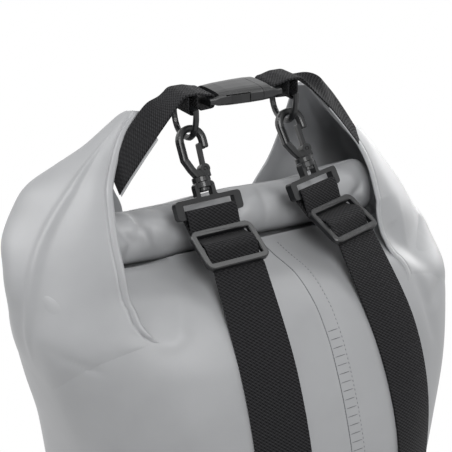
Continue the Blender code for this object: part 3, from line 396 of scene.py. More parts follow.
# Soft folds that run down each ear from the handle: where across it, how much further per metre of drop,
# half width and height
ear_ridges = {
    "left": [(0.3075, 0.75, 0.026, 0.0018)],
    "right": [(0.50, 0.60, 0.045, -0.0030), (0.64, 0.80, 0.040, 0.0028), (0.77, 0.60, 0.035, -0.0030),
              (0.90, 0.30, 0.040, 0.0022)]}
ear_knots = np.array([0.0, 0.28, 0.62, 1.0])
ear_corners = np.eye(4)
corner_slopes = np.array([(ear_corners[b] - ear_corners[a]) / (ear_knots[b] - ear_knots[a])
                          for a, b in ((0, 1), (0, 2), (1, 3), (2, 3))])
ear_across = np.concatenate([np.linspace(0.0, 0.09, 24, endpoint=False), np.linspace(0.09, 1.0, 86)])
ear_share = np.linspace(0.0, 1.0, 150)
# Share of the hem, the front face, the outer ridge and the back edge in each point across the ear
i = np.clip(np.searchsorted(ear_knots, ear_across, side="right") - 1, 0, 2)
span = np.diff(ear_knots)[i][:, None]
corner_shares = curve_between(ear_corners[i], ear_corners[i + 1], corner_slopes[i], corner_slopes[i + 1], span,
                              (ear_across - ear_knots[i])[:, None] / span)
ear_top = 0.0065 + 0.0040 * smooth_step(0.3, 1.0, ear_across)
ear_bottom = 0.185
ear_front = 0.34
ear_fullness = 0.0055
ear_lift, ear_sink = 0.0009, 0.0015
hem_thickness = 0.0024
# The hem's swell and its sealed line: how far behind the edge, half width, and height or depth
swell_back, swell_half, swell_rise = 0.0014, 0.0022, 0.0006
line_back, line_half, line_depth = 0.0042, 0.0007, 0.0008
# Drop at which the ear starts to settle on to the body, and how much more drop that takes, across the ear
settles_from = np.interp(ear_across, (0.0, 0.15, 0.30, 0.50, 0.62, 0.80, 1.0),
                         (0.106, 0.088, 0.088, 0.105, 0.115, 0.110, 0.095))
settles_over = np.interp(ear_across, (0.0, 0.15, 0.30, 0.50, 0.62, 1.0),
                         (0.027, 0.050, 0.050, 0.055, 0.058, 0.040))
easing_rounds, brought_out_after, shoulder_drop = 480, (150, 300), 0.090


def body_measure(x, y, height):
    """Less than 1 inside the body, 1 on its face and more outside it."""
    wide, middle, deep, power = body_section(height)
    return np.abs((x - body_shift(height)) / wide) ** power + np.abs((y - middle) / deep) ** power


def onto_body(points, side):
    """The body's face in line with points on one side of the bag, at their heights."""
    x, y, height = np.moveaxis(points, -1, 0)
    wide, middle, deep, power = body_section(height)
    c = side * (np.abs(x - body_shift(height)) / wide) ** (power / 2)
    s = np.sign(y - middle) * (np.abs(y - middle) / deep) ** (power / 2)
    return body_face(np.arctan2(s, c), height)


def shell_piece(name, outer, inner, wall, material):
    """A closed sheet between two faces, with half-round edges down both sides."""
    rows, columns = outer.shape[:2]
    turn = np.linspace(0, np.pi, 8)[1:-1]
    sides = []
    for first, second in ((0, 1), (-1, -2)):
        away = unit(outer[:, first] - outer[:, second]) * wall[:, first, None] / 2
        middle = (outer[:, first] + inner[:, first]) / 2
        half = (outer[:, first] - inner[:, first]) / 2
        sides.append(np.stack([middle + half * np.cos(a) + away * np.sin(a) for a in turn], 1))
    loop = np.concatenate([outer, sides[1], inner[:, ::-1], sides[0][:, ::-1]], axis=1)
    count = loop.shape[1]
    faces = numbered(quads(rows, count), count)

    def twin(c):
        return 2 * columns + len(turn) - 1 - c

    for r in (0, rows - 1):
        faces += [tuple(r * count + k for k in (c, c + 1, twin(c + 1), twin(c))) for c in range(columns - 1)]
        faces.append(tuple(r * count + c for c in range(columns - 1, columns + len(turn) + 1)))
        faces.append(tuple(r * count + c for c in (*range(2 * columns + len(turn) - 1, count), 0)))
    return face_piece(name, loop, faces, material)


for side_name, side in (("left", -1), ("right", 1)):
    # Rows are spaced along the hem at its own edge, and evenly in height further back.
    hem = ear_hems[side_name]
    fine = np.linspace(hem[0, 0], hem[-1, 0], 400)
    run = np.column_stack([fine, smooth_through(hem, fine)])
    gone = lengths_along(run)
    hem_drop = np.interp(ear_share * gone[-1], gone, fine)[:, None]
    even_drop = ear_top[None, :] + (ear_bottom - ear_top[None, :]) * ear_share[:, None]
    away = smooth_step(0.0, ear_front, ear_across)[None, :]
    ear_drop = hem_drop * (1 - away) + even_drop * away
    corners = np.concatenate([smooth_through(hem, ear_drop), smooth_through(ear_rows, ear_drop)], axis=-1)
    flat = np.einsum("ak,rakj->raj", corner_shares, corners.reshape(*ear_drop.shape, 4, 2))
    free = np.stack([side * flat[..., 0], flat[..., 1], handle_middle.z - ear_drop], -1)
    # Low down the ear is the body's own side, so it settles on to the body.
    hold = smooth_step(0.0, 1.0, (ear_drop - settles_from) / settles_over)[..., None]
    outer = free * (1 - hold) + onto_body(free, side) * hold
    # Between hem and ridge it fills out gradually towards the shoulder.
    fills = np.sin(np.pi * np.clip(ear_across / ear_front, 0.0, 1.0)) ** 2
    full = ear_fullness * fills * smooth_step(0.040, 0.115, ear_drop) * (1 - hold[..., 0])
    outer = outer + grid_normals(outer) * -side * full[..., None]
    # The fabric is taut, so the dents between the two are eased out, but it stays outside the body.
    taut = (smooth_step(0.0, 0.10, ear_across) * (1 - smooth_step(0.30, 0.50, ear_across)))[None, :, None]
    taut = (taut * smooth_step(0.050, 0.080, ear_drop)[..., None] * (1 - hold))[1:-1, 1:-1]
    for step in range(easing_rounds):
        beside = (outer[:-2, 1:-1] + outer[2:, 1:-1] + outer[1:-1, :-2] + outer[1:-1, 2:]) / 4
        outer[1:-1, 1:-1] += 0.5 * taut * (beside - outer[1:-1, 1:-1])
        if step in brought_out_after:
            sunk = (body_measure(*np.moveaxis(outer, -1, 0)) < 1) & (ear_drop > shoulder_drop)
            outer = np.where(sunk[..., None], onto_body(outer, side), outer)
    reaches = smooth_step(0.015, 0.050, ear_drop) * (1 - smooth_step(0.125, 0.165, ear_drop))
    for ridge_across, drift, width, rise in ear_ridges[side_name]:
        ridge = rise * reaches * np.exp(-((ear_across - ridge_across - drift * ear_drop) / width) ** 2)
        outer = outer + grid_normals(outer) * -side * ridge[..., None]
    for route, width, rise in body_folds:
        # The last one, a valley across the right ear's front, is as deep in the ear as in the body.
        share = 1.0 if route is body_folds[-1][0] else hold
        outer = outer + share * (fold(outer, grid_normals(outer) * -side, route, width, rise) - outer)
    out = grid_normals(outer) * -side
    # It lies just off the body, and its foot sinks into it.
    rest = ear_lift - ear_sink * smooth_step(0.85, 1.0, ear_share)[:, None]
    # The hem: a fold with a sealed line a little way behind its edge. It fades out as it meets the panel.
    from_hem = np.linalg.norm(outer - outer[:, :1], axis=-1)
    fade = 1 - smooth_step(0.127, 0.133, ear_drop)
    line = np.exp(-((from_hem - line_back) / line_half) ** 2)
    swell = np.exp(-((from_hem - swell_back) / swell_half) ** 2)
    outer = outer + out * (rest + fade * (swell_rise * swell - line_depth * line))[..., None]
    wall = hem_thickness * (1 - 0.6 * smooth_step(0.118, 0.133, ear_drop))
    ear = shell_piece("ear_" + side_name, outer, outer - out * wall[..., None], wall, tarpaulin)
    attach(ear, "bag")


# Rolled top
# The mouth of the bag is rolled forwards round its stiffened hem. The outer turn comes up the back panel,
# over the top and down the front, and its spiral shows at both ends.
def body_top(x, y):
    """Height of the body's upper face over points of the floor."""
    levels = np.linspace(0.44, 0.522, 83)
    inside = body_measure(x[..., None], y[..., None], levels) < 1
    return np.max(np.where(inside, levels, levels[0]), axis=-1)


def turned_towards(normals, way):
    """Normals turned so that they point along a way rather than against it."""
    return normals * np.sign(np.sum(normals * way, -1, keepdims=True))


roll_core = 0.0062
roll_half_length = 0.1000
roll_end_rise = 0.004
roll_sheet = 0.0011
back_end_y, back_gap, back_sink = 0.058, 0.0006, 0.0040
roll_across = np.linspace(-roll_half_length, roll_half_length, 110)
leaves_at = math.radians(66)
spiral = np.linspace(leaves_at + math.radians(800), leaves_at, 120)
spiral_share = np.linspace(0.0, 1.0, len(spiral))
back_share = np.linspace(0.0, 1.0, 28)
roll_rows = []
for x in roll_across:
    sag = 0.0012 * math.sin(31 * x + 0.6) + 0.0008 * math.sin(67 * x + 2.0)
    rise = roll_end_rise * max(0.0, (x - 0.055) / 0.045) ** 2
    radius = roll_core + (roll_radius - roll_core) * spiral_share
    radius = radius * (1 + 0.04 * math.sin(43 * x) * np.cos(2 * spiral + 8 * x))
    turns = np.stack([np.full_like(spiral, x), roll_y + radius * np.cos(spiral),
                      roll_z + rise + sag + radius * np.sin(spiral)], -1)
    back_y = turns[-1, 1] + 0.0005 + (back_end_y - turns[-1, 1]) * back_share
    lies_at = body_top(np.full_like(back_y, x), back_y)
    leaves = turns[-1, 2] - (back_y - turns[-1, 1]) / math.tan(leaves_at)
    back_z = np.where(back_share < 0.75, np.maximum(leaves, lies_at), lies_at) + back_gap
    back_z = back_z - back_sink * smooth_step(0.70, 1.0, back_share)
    roll_rows.append(np.concatenate([turns, np.stack([np.full_like(back_y, x), back_y, back_z], -1)]))
roll_grid = np.array(roll_rows)
# The ends of the roll are crumpled where they turn up into the ears.
roll_folds = from_mm((
    ([(-98, -10, 529), (-88, -20, 517), (-92, -19, 503)], 3.5, -3),
    ([(-90, 2, 533), (-80, -16, 524), (-74, -20, 508)], 4, 2.2),
    ([(-82, -8, 530), (-70, -20, 514), (-64, -18, 503)], 4.5, -1.4),
    ([(-70, 6, 532), (-40, -12, 528), (-20, -16, 524)], 5, -0.8),
    ([(20, 0, 532), (34, -14, 526), (30, -20, 510)], 5.5, -1.2),
    ([(98, -10, 529), (86, -20, 517), (92, -19, 503)], 3.5, -3)))
# Shallow wrinkles run round the rest of it on a slant.
wrinkles = np.random.default_rng(5)
for x in np.linspace(-0.085, 0.090, 15):
    start_x = x + wrinkles.uniform(-0.006, 0.006)
    slant = wrinkles.uniform(-0.022, 0.022)
    route = [(start_x + slant * share, roll_y + roll_radius * math.cos(a), roll_z + roll_radius * math.sin(a))
             for share, a in ((0.0, 1.2), (0.3, 1.8), (0.6, 2.4), (1.0, 3.3))]
    roll_folds.append((route, wrinkles.uniform(0.0026, 0.0050), wrinkles.uniform(-0.0018, 0.0008)))
# Only the outer turn and the back panel take them.
outer_turn = smooth_step(0.50, 0.62, np.concatenate([spiral_share, np.ones_like(back_share)]))[None, :, None]
for route, width, height in roll_folds:
    outwards = roll_grid - np.array([0.0, roll_y, roll_z])
    outwards[..., 0] = 0.0
    normals = turned_towards(grid_normals(roll_grid), outwards)
    roll_grid = roll_grid + outer_turn * (fold(roll_grid, normals, route, width, height) - roll_grid)
rows, columns = roll_grid.shape[:2]
rolled_top = face_piece("rolled_top", roll_grid, numbered(quads(rows, columns - 1), columns), tarpaulin)
sheet = rolled_top.modifiers.new("sheet", "SOLIDIFY")
sheet.thickness = roll_sheet
sheet.offset = 0.0
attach(rolled_top, "bag")
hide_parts("rolled_hem", "hem_stiffener")


# Base
# A round panel of the same tarpaulin closes the tube, and the bag stands on it. A band of the tarpaulin is
# welded round the foot of the wall.
rim_angles = np.linspace(0, 2 * np.pi, 144, endpoint=False)


def turned_loops(profile):
    """Loops of points round the bag's axis from radii and heights in mm."""
    radius, height = np.array(profile).T[..., None] / 1000
    return np.stack(np.broadcast_arrays(radius * np.cos(rim_angles), radius * np.sin(rim_angles), height), -1)


base_disc = tube_piece("base_disc", turned_loops([
    (40, 0), (80, 0), (110, 0), (117, 0), (119.8, 0.3), (120.8, 1), (120.8, 2), (119.5, 2.8), (116, 3),
    (80, 3)]), tarpaulin)
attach(base_disc, "bag")
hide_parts("base_panel")

foot_band = tube_piece("foot_band", turned_loops([
    (129, 9.6), (130.4, 9.4), (131.2, 9.6), (131.6, 10.4), (131.6, 16), (131.7, 23.5), (131.4, 24.7),
    (130.8, 25.2), (129, 25.2)]), tarpaulin)
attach(foot_band, "bag")
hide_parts("base_weld_band")


# Handle webbing
# Flat 25 mm polyester webbing sewn along the hem. Its ends come out of the ears on a sliver of the hem's
# fabric, cross the D-ring tabs and fold round the end bars of the buckle.

# Polyester webbing: matt black yarn in a tight weave. The real rows of yarn lie on a slant about 1.5 mm apart;
# they are drawn
# 2.4 mm apart, split every 1.9 mm across the webbing, so that they show. The weave's light and shade is
# painted into the
# colour: a painted highlight on the raised yarn and painted shade in the gaps between rows, with some random
# fuzz.
webbing, tree, shader = new_material("polyester_webbing")
row_slant, row_step, split_step, fuzz_size = 0.8, 0.0024, 0.0019, 0.0022
weave = add_node(tree, "ShaderNodeUVMap", uv_map="weave")
parted = add_node(tree, "ShaderNodeSeparateXYZ", links={"Vector": (weave, "UV")})
lean = add_node(tree, "ShaderNodeMath", {1: row_slant}, {0: (parted, "X"), 2: (parted, "Y")},
                operation="MULTIPLY_ADD")
waves = []
for source, step in (((lean, "Value"), row_step), ((parted, "X"), split_step)):
    turns = add_node(tree, "ShaderNodeMath", {1: 2 * math.pi / step}, {0: source}, operation="MULTIPLY")
    waves.append((add_node(tree, "ShaderNodeMath", links={0: (turns, "Value")}, operation="SINE"), "Value"))
yarn = add_node(tree, "ShaderNodeMath", links={0: waves[0], 1: waves[1], 2: waves[0]},
                operation="MULTIPLY_ADD")
raised = add_node(tree, "ShaderNodeMapRange", {"From Min": -2.0, "From Max": 2.0}, {"Value": (yarn, "Value")})
fuzz = add_node(tree, "ShaderNodeTexNoise", {"Scale": 1 / fuzz_size, "Detail": 2.0}, {"Vector": (weave, "UV")})
shade = add_node(tree, "ShaderNodeMix", {"Factor": 0.25}, {"A": (raised, "Result"), "B": (fuzz, "Fac")})
# Painted highlight and painted shade of the weave: raised yarn lighter, gaps darker, a quarter of it random
# fuzz.
black_and_painted_weave_light = add_node(tree, "ShaderNodeValToRGB", links={"Fac": (shade, "Result")},
                 stops=((0.25, "#060607"), (0.80, "#353537")))
relief = add_node(tree, "ShaderNodeBump", {"Strength": 1.0, "Distance": 0.0006},
                  {"Height": (raised, "Result")})
set_node(tree, shader, {"Roughness": 0.80, "Specular IOR Level": 0.12, "Sheen Weight": 0.04,
                        "Sheen Roughness": 0.45},
         {"Base Color": (black_and_painted_weave_light, "Color"), "Normal": (relief, "Normal")})


def even_steps(path, step):
    """The same route with points an even step apart, and the distance along it."""
    path = np.asarray(path, float)
    along = lengths_along(path)
    at = np.linspace(0.0, along[-1], max(2, int(round(along[-1] / step)) + 1))
    return np.stack([np.interp(at, along, path[:, k]) for k in range(path.shape[1])], -1), at


def eased(path, rounds):
    """Soften the corners of a route; its ends stay."""
    path = path.copy()
    for _ in range(rounds):
        path[1:-1] = path[1:-1] * 0.5 + (path[:-2] + path[2:]) * 0.25
    return path


def strip_piece(name, path, along, across, width, thickness, material, narrowed=1.0):
    """A flat strip along a route of points, its width lying along the across directions, with rounded edges.
    Narrowed is the share of the width that each point keeps; the front edge stays."""
    across = np.broadcast_to(across, path.shape)
    face = unit(np.cross(across, unit(np.gradient(path, axis=0))))
    half = thickness / 2
    flat = np.linspace(-width / 2 + half, width / 2 - half, 13)
    edge = np.linspace(-np.pi / 2, np.pi / 2, 6)[1:-1]
    section = np.array([(u, -half) for u in flat]
                       + [(flat[-1] + half * math.cos(a), half * math.sin(a)) for a in edge])
    section = np.concatenate([section, -section])
    kept = np.broadcast_to(narrowed, len(path))[:, None]
    front = np.sign(-across[:, 1:2]) * width / 2
    reach = front + (section[None, :, 0] - front) * kept
    grid = path[:, None] + across[:, None] * reach[..., None] + face[:, None] * section[None, :, 1:]
    reach = np.concatenate([section[:, 0], section[:1, 0]])
    return tube_piece(name, grid, material, np.stack(np.meshgrid(reach, along), -1))


# X outwards and height over the handle, in mm: out of the ear, over the D-ring tab, round the buckle's bar
# and back
handle_route = np.array([
    (92.5, -52), (86.5, -44), (73, -27.1), (58, -9.4), (48, 2.2), (44.7, 5.4), (42.2, 6.2), (33.8, 6.2),
    (27, 4.45), (24, 4.05), (23.47, 3.91), (23.09, 3.52), (22.95, 3), (22.95, -3), (23.09, -3.53),
    (23.47, -3.91), (24, -4.05), (32.5, -4.45)]) / 1000
handle_width = 0.0250
web_thickness = 0.0015
# The hem's sliver: how far it shows in front of the webbing, lies below it and is wider, and its thickness
sliver_shows, sliver_below, sliver_wider, sliver_sheet = 0.0011, 0.00125, 0.0010, 0.0009
# The D-ring's straight side, x outwards and height, and the loop of webbing round it
ring_out, ring_height = 0.038, 0.596
tab_radius, tab_rise, tab_width, tab_thickness = 0.0034, 0.0086, 0.0235, 0.0010
for side_name, side, tuck, most_lean in (("left", -1, 0.0, 35), ("right", 1, -0.0020, 50)):
    route, along = even_steps(handle_route, 0.0006)
    route = eased(route, 3)
    # Towards the ear the webbing leans with the hem it is sewn to: its back edge stands higher.
    out_x = route[:, 0]
    lean_angle = (np.radians(most_lean) * smooth_step(0.046, 0.068, out_x)
                  + np.radians(6) * smooth_step(0.07, 0.09, out_x))
    across = side * np.stack([0 * out_x, np.cos(lean_angle), np.sin(lean_angle)], -1)
    path = np.stack([side * (out_x - tuck * smooth_step(0.046, 0.070, out_x)),
                     handle_width / 2 * (np.cos(lean_angle) - 1),
                     handle_middle.z + route[:, 1] + handle_width / 2 * np.sin(lean_angle)], -1)
    into_ear = 1 - 0.33 * smooth_step(0.074, 0.0925, out_x)
    handle = strip_piece("handle_webbing_soft_" + side_name, path, along, across, handle_width, web_thickness,
                         webbing, into_ear)
    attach(handle, "bag")
    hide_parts("handle_webbing_" + side_name)

    # The sliver of hem under the webbing, which shows along its front edge.
    sloping = slice(0, int(np.argmax(out_x < 0.064)), 4)
    face = np.cross(across, unit(np.gradient(path, axis=0)))
    beneath = path - np.array([0.0, sliver_shows, 0.0]) + face * np.sign(-face[:, 2:]) * sliver_below
    hem_strip = strip_piece("hem_strip_" + side_name, beneath[sloping], along[sloping], across[sloping],
                            handle_width + sliver_wider, sliver_sheet, tarpaulin, into_ear[sloping])
    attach(hem_strip, "bag")

    # A short loop of the same webbing holds the D-ring's straight side under the handle.
    bend = [(tab_radius * math.cos(a), tab_radius * math.sin(a)) for a in np.linspace(np.pi, 2 * np.pi, 22)]
    route, along = even_steps([(-tab_radius, tab_rise), *bend, (tab_radius, tab_rise)], 0.0007)
    path = np.stack([side * ring_out + route[:, 0], np.zeros(len(route)), ring_height + route[:, 1]], -1)
    tab = strip_piece("d_ring_loop_" + side_name, path, along, (0.0, 1.0, 0.0), tab_width, tab_thickness,
                      webbing)
    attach(tab, "bag")
    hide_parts("d_ring_tab_" + side_name)


# Moulded fittings
# The buckle, D-rings, snap hooks, strap fixtures and sliders are injection-moulded nylon, dark grey from
# the pigment, with a fine spark-eroded texture that gives a soft even sheen.
nylon, tree, shader = new_material("moulded_nylon")
grit_size, flow_length = 0.0006, 0.012
place = add_node(tree, "ShaderNodeTexCoord")
grit, flow = (add_node(tree, "ShaderNodeTexNoise", {"Scale": 1 / size, "Detail": 2.0},
                       {"Vector": (place, "Object")}) for size in (grit_size, flow_length))
tone = add_node(tree, "ShaderNodeValToRGB", links={"Fac": (flow, "Fac")},
                stops=((0.35, "#141516"), (0.70, "#1d1e20")))
sheen = add_node(tree, "ShaderNodeMapRange", {"To Min": 0.25, "To Max": 0.36}, {"Value": (flow, "Fac")})
texture = add_node(tree, "ShaderNodeBump", {"Strength": 0.12, "Distance": 0.00012}, {"Height": (grit, "Fac")})
set_node(tree, shader, {"IOR": 1.53, "Specular IOR Level": 0.42},
         {"Base Color": (tone, "Color"), "Roughness": (sheen, "Result"), "Normal": (texture, "Normal")})
fittings = ["buckle_socket", "buckle_plug", "buckle_prong_front", "buckle_prong_back"]
for side_name in ("left", "right"):
    fittings += [piece + side_name for piece in ("d_ring_", "snap_hook_", "hook_gate_", "swivel_fixture_",
                                                 "strap_slider_")]
for name in fittings:
    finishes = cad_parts[name].data.materials
    finishes.clear()
    finishes.append(nylon)


# Shoulder straps
# Flat 38 mm polyester webbing. Each is sewn under its slider, loops round the fixture's bar, weaves back
# through the slider and runs down the front of the bag to a welded patch with a sewn box.

# Points outwards and up from where the hook sits on its D-ring, in mm
loop_route = np.array([
    (44.43, -64.11), (30.06, -55.13), (21.42, -47.84), (19.54, -44.31), (19.42, -43.78), (19.58, -43.26),
    (19.98, -42.89), (24.39, -40.55), (24.92, -40.42), (25.44, -40.58), (25.81, -40.98), (27.69, -44.51),
    (31.01, -53.6), (36.78, -57.21), (46.71, -56.22), (50.52, -58.61), (53.99, -67.97),
    (59.76, -71.57)]) / 1000
straight_up = np.array((0.0, 0.0, 1.0))
bag_width, halvings = 0.26, 40


def on_body(seat, outwards, sideways, laterals, heights, lift):
    """Points on the body's face under a strap or patch, lifted off it, and the face's normals."""
    lateral, height = np.meshgrid(laterals, heights)
    near = np.zeros_like(height)
    far = near + bag_width
    for _ in range(halvings):
        half_way = (near + far) / 2
        x = seat[0] + sideways[0] * lateral + outwards[0] * half_way
        y = seat[1] + sideways[1] * lateral + outwards[1] * half_way
        inside = body_measure(x, y, height) < 1
        near = np.where(inside, half_way, near)
        far = np.where(inside, far, half_way)
    spot = seat + lateral[..., None] * sideways + near[..., None] * outwards
    spot[..., 2] = height
    out = turned_towards(grid_normals(spot), outwards + 0.3 * straight_up)
    return spot + out * np.asarray(lift)[..., None], out


def layer_piece(name, face, back, material, uv=None):
    """A closed layer between two faces of the same rows and columns."""
    return tube_piece(name, np.concatenate([face, back[:, ::-1]], axis=1), material, uv)


# Marks that repeat along a line, such as stitches and weld bars: one small rounded mark at each step.
marks_tree = bpy.data.node_groups.new("marks_on_a_line", "GeometryNodeTree")
marks_sockets = {}
for socket_name, kind in (("Line", "NodeSocketGeometry"), ("Step", "NodeSocketFloat"),
                          ("Size", "NodeSocketVector"), ("Finish", "NodeSocketMaterial")):
    marks_sockets[socket_name] = marks_tree.interface.new_socket(socket_name, in_out="INPUT", socket_type=kind)
marks_tree.interface.new_socket("Marks", in_out="OUTPUT", socket_type="NodeSocketGeometry")
given = add_node(marks_tree, "NodeGroupInput")
line_curve = add_node(marks_tree, "GeometryNodeMeshToCurve", links={"Mesh": (given, "Line")})
stepped = add_node(marks_tree, "GeometryNodeResampleCurve", links={
    "Curve": (line_curve, "Curve"), "Length": (given, "Step")}, mode="LENGTH")
line_tangent = add_node(marks_tree, "GeometryNodeInputTangent")
line_outward = add_node(marks_tree, "GeometryNodeInputNamedAttribute", {"Name": "outward"},
                        data_type="FLOAT_VECTOR")
laid = add_node(marks_tree, "FunctionNodeAxesToRotation", links={
    "Primary Axis": (line_outward, "Attribute"), "Secondary Axis": (line_tangent, "Tangent")},
    primary_axis="Z", secondary_axis="X")
one_mark = add_node(marks_tree, "GeometryNodeMeshUVSphere", {"Segments": 8, "Rings": 5, "Radius": 0.5})
placed = add_node(marks_tree, "GeometryNodeInstanceOnPoints", links={
    "Points": (stepped, "Curve"), "Instance": (one_mark, "Mesh"), "Rotation": (laid, "Rotation"),
    "Scale": (given, "Size")})
real = add_node(marks_tree, "GeometryNodeRealizeInstances", links={"Geometry": (placed, "Instances")})
rounded = add_node(marks_tree, "GeometryNodeSetShadeSmooth", links={"Geometry": (real, "Geometry")})
finished = add_node(marks_tree, "GeometryNodeSetMaterial", links={
    "Geometry": (rounded, "Geometry"), "Material": (given, "Finish")})
add_node(marks_tree, "NodeGroupOutput", links={"Marks": (finished, "Geometry")})


def marks_piece(name, lines, step, size, material):
    """Marks along lines of (points, outward directions), each with the same number of points.
    Size is along the line, across it and out of it."""
    points, outward = (np.concatenate(parts) for parts in zip(*lines))
    count = len(lines[0][0])
    edges = [(i, i + 1) for i in range(len(points) - 1) if (i + 1) % count]
    mesh = bpy.data.meshes.new(name + "_line")
    mesh.from_pydata(points.tolist(), edges, [])
    mesh.attributes.new("outward", "FLOAT_VECTOR", "POINT").data.foreach_set("vector", outward.reshape(-1))
    carrier = new_object(name + "_line", mesh)
    marks = carrier.modifiers.new("marks", "NODES")
    marks.node_group = marks_tree
    marks[marks_sockets["Step"].identifier] = step
    marks[marks_sockets["Size"].identifier] = size
    marks[marks_sockets["Finish"].identifier] = material
    bpy.context.view_layer.update()
    made = bpy.data.meshes.new_from_object(carrier.evaluated_get(bpy.context.evaluated_depsgraph_get()))
    made.name = name
    bpy.data.objects.remove(carrier, do_unlink=True)
    return new_object(name, made)


# Bonded polyester thread: black, a little glossier than the webbing, so the stitches catch the light.
thread, tree, shader = new_material("polyester_thread")
ply_size = 0.0005
place = add_node(tree, "ShaderNodeTexCoord")
ply = add_node(tree, "ShaderNodeTexNoise", {"Scale": 1 / ply_size, "Detail": 1.0},
               {"Vector": (place, "Object")})
tone = add_node(tree, "ShaderNodeValToRGB", links={"Fac": (ply, "Fac")},
                stops=((0.0, "#18181a"), (1.0, "#363638")))
twist = add_node(tree, "ShaderNodeBump", {"Strength": 0.3, "Distance": 0.0001}, {"Height": (ply, "Fac")})
set_node(tree, shader, {"Roughness": 0.5}, {"Base Color": (tone, "Color"), "Normal": (twist, "Normal")})

strap_half = 0.0190
hook_seat_y, hook_seat_z = -0.007, 0.5762
# How far the strap, the patch and the stitches lie off the body, and how much the patch lifts the strap
strap_lift, patch_lift, stitch_lift, over_patch = 0.0013, 0.0019, 0.0043, 0.0018
patch_low, patch_high, patch_half, patch_thickness = 0.026, 0.110, 0.029, 0.0014
strap_low, strap_high, bend_from, bend_rounds = 0.040, 0.458, 89, 24
sewn_out, sewn_down, slider_run, run_lift, end_thinned = 0.05849, 0.07077, 0.040, 0.0005, 0.35
box_corners = ((-0.015, 0.045), (0.015, 0.045), (0.015, 0.085), (-0.015, 0.085))
stitch_step, stitch_size = 0.0034, (0.0026, 0.0008, 0.0007)
close_by = np.array([-1e-4, 0.0, 1e-4])
for side_name, side, turn in (("left", -1, math.radians(3)), ("right", 1, math.radians(20))):
    seat = np.array((side * ring_out, hook_seat_y, hook_seat_z))
    outwards = np.array((math.sin(turn), -math.cos(turn), 0.0))
    sideways = np.array((math.cos(turn), math.sin(turn), 0.0))
    route, along = even_steps(loop_route, 0.0007)
    route = eased(route, 2)
    path = seat + route[:, :1] * outwards + route[:, 1:] * straight_up
    loop = strip_piece("strap_loop_soft_" + side_name, path, along, -sideways, 2 * strap_half, web_thickness,
                       webbing)
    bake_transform(loop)
    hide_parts("strap_loop_" + side_name)

    # From its foot up: over its patch, on the body, then in a straight run from the shoulder to the slider.
    lower = np.linspace(strap_low, strap_high, 120)
    laterals = np.linspace(-strap_half, strap_half, 13)
    on_patch = 1 - smooth_step(patch_high, 0.128, lower)
    lying, _ = on_body(seat, outwards, sideways, laterals, lower,
                       (strap_lift + over_patch * on_patch)[:, None])
    sewn = seat + sewn_out * outwards - sewn_down * straight_up + laterals[:, None] * sideways
    gone = np.linspace(0, 1, 18)[1:][:, None, None]
    strip = np.concatenate([lying, lying[-1][None] * (1 - gone) + sewn[None] * gone])
    strip[bend_from:] = eased(strip[bend_from:], bend_rounds)
    # Its end lies inside the loop's tail, to which it is sewn, so it thins out there.
    to_end = np.clip((np.arange(len(strip)) - len(lower)) / (len(gone) - 1), 0.0, 1.0)[:, None, None]
    strip = strip + outwards * run_lift * (1 - smooth_step(0.4, 0.9, to_end))
    half_layer = web_thickness / 2 * (1 - end_thinned * smooth_step(0.85, 1.0, to_end))
    out = turned_towards(grid_normals(strip), outwards + 0.3 * straight_up)
    run = lengths_along(strip[:, 6])
    reach = np.concatenate([laterals, laterals[::-1], laterals[:1]])
    uv = np.stack(np.meshgrid(reach, run), -1)
    strap = layer_piece("strap_soft_" + side_name, strip + out * half_layer, strip - out * half_layer,
                        webbing, uv)
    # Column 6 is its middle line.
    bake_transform(strap)
    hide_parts("shoulder_strap_" + side_name)

    patch_face, patch_out = on_body(seat, outwards, sideways, np.linspace(-patch_half, patch_half, 17),
                                    np.linspace(patch_low, patch_high, 26), patch_lift)
    patch = layer_piece("strap_patch_soft_" + side_name, patch_face, patch_face - patch_out * patch_thickness,
                        tarpaulin)
    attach(patch, "bag")
    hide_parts("strap_patch_" + side_name)

    # A sewn box with a cross holds the strap's end to the patch.
    box = []
    for first, last in ((0, 1), (1, 2), (2, 3), (3, 0), (0, 2), (1, 3)):
        dots = [on_body(seat, outwards, sideways, u + close_by, z + close_by, stitch_lift)
                for u, z in np.linspace(box_corners[first], box_corners[last], 16)]
        box.append((np.array([spot[1, 1] for spot, _ in dots]), np.array([way[1, 1] for _, way in dots])))
    stitches = marks_piece("strap_stitches_" + side_name, box, stitch_step, stitch_size, thread)
    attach(stitches, "bag")


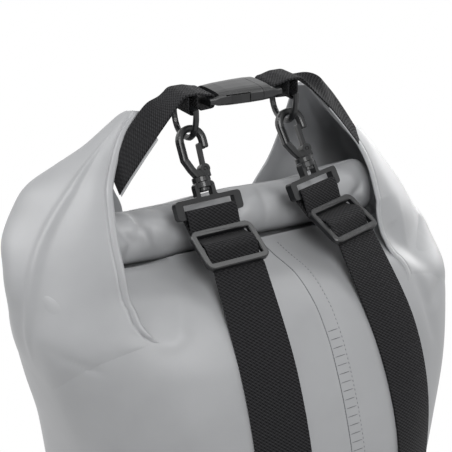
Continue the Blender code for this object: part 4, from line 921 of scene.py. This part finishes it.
# Welded seam
# The tube's long seam is lapped and closed with a hot press, which leaves a crisp line along one edge,
# a row of dashes along the other and short bars between them like a ladder.
seam_turn = math.radians(7)
seam_seat = np.array((0.008, 0.0, 0.600))
seam_out = np.array((math.sin(seam_turn), -math.cos(seam_turn), 0.0))
seam_side = np.array((math.cos(seam_turn), math.sin(seam_turn), 0.0))
seam_heights = np.concatenate([np.linspace(0.030, 0.48, 130), np.linspace(0.4808, 0.4985, 24)])
seam_laterals = np.linspace(-0.0095, 0.0095, 15)
seam_lift, seam_thickness, melt_depth = 0.00012, 0.0016, 0.0005
# Its edges are melted down into the wall.
edge_melt = np.maximum(smooth_step(0.0055, 0.0095, np.abs(seam_laterals))[None, :],
                       smooth_step(0.4925, 0.4985, seam_heights)[:, None])
seam_face, seam_normals = on_body(seam_seat, seam_out, seam_side, seam_laterals, seam_heights,
                                  seam_lift - melt_depth * edge_melt)
seam = layer_piece("welded_seam", seam_face, seam_face - seam_normals * seam_thickness, tarpaulin)
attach(seam, "bag")
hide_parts("seam_tape")

# Pressed PVC: where the hot press has melted the coat it is smoother, a little darker and glossier.
pressed, tree, shader = new_material("pressed_pvc")
melt_size = 0.004
place = add_node(tree, "ShaderNodeTexCoord")
melt = add_node(tree, "ShaderNodeTexNoise", {"Scale": 1 / melt_size, "Detail": 2.0},
                {"Vector": (place, "Object")})
tone = add_node(tree, "ShaderNodeValToRGB", links={"Fac": (melt, "Fac")},
                stops=((0.0, "#45474a"), (1.0, "#787b7d")))
set_node(tree, shader, {"Roughness": 0.30}, {"Base Color": (tone, "Color")})
# Where each row lies across the seam, its step, and the marks' size; the bars end well below the roll.
all_rows, below_roll = slice(None), slice(0, 124)
for line_name, lateral, reaches, step, size in (
        ("edge", -0.0047, all_rows, 0.0020, (0.0032, 0.0008, 0.0005)),
        ("dashes", 0.0056, all_rows, 0.0030, (0.0018, 0.0005, 0.0003)),
        ("bars", 0.00045, below_roll, 0.0058, (0.0006, 0.0090, 0.0003))):
    spots, ways = on_body(seam_seat, seam_out, seam_side, lateral + close_by, seam_heights, seam_lift)
    marks = marks_piece("seam_" + line_name, [(spots[reaches, 1], ways[reaches, 1])], step, size, pressed)
    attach(marks, "bag")
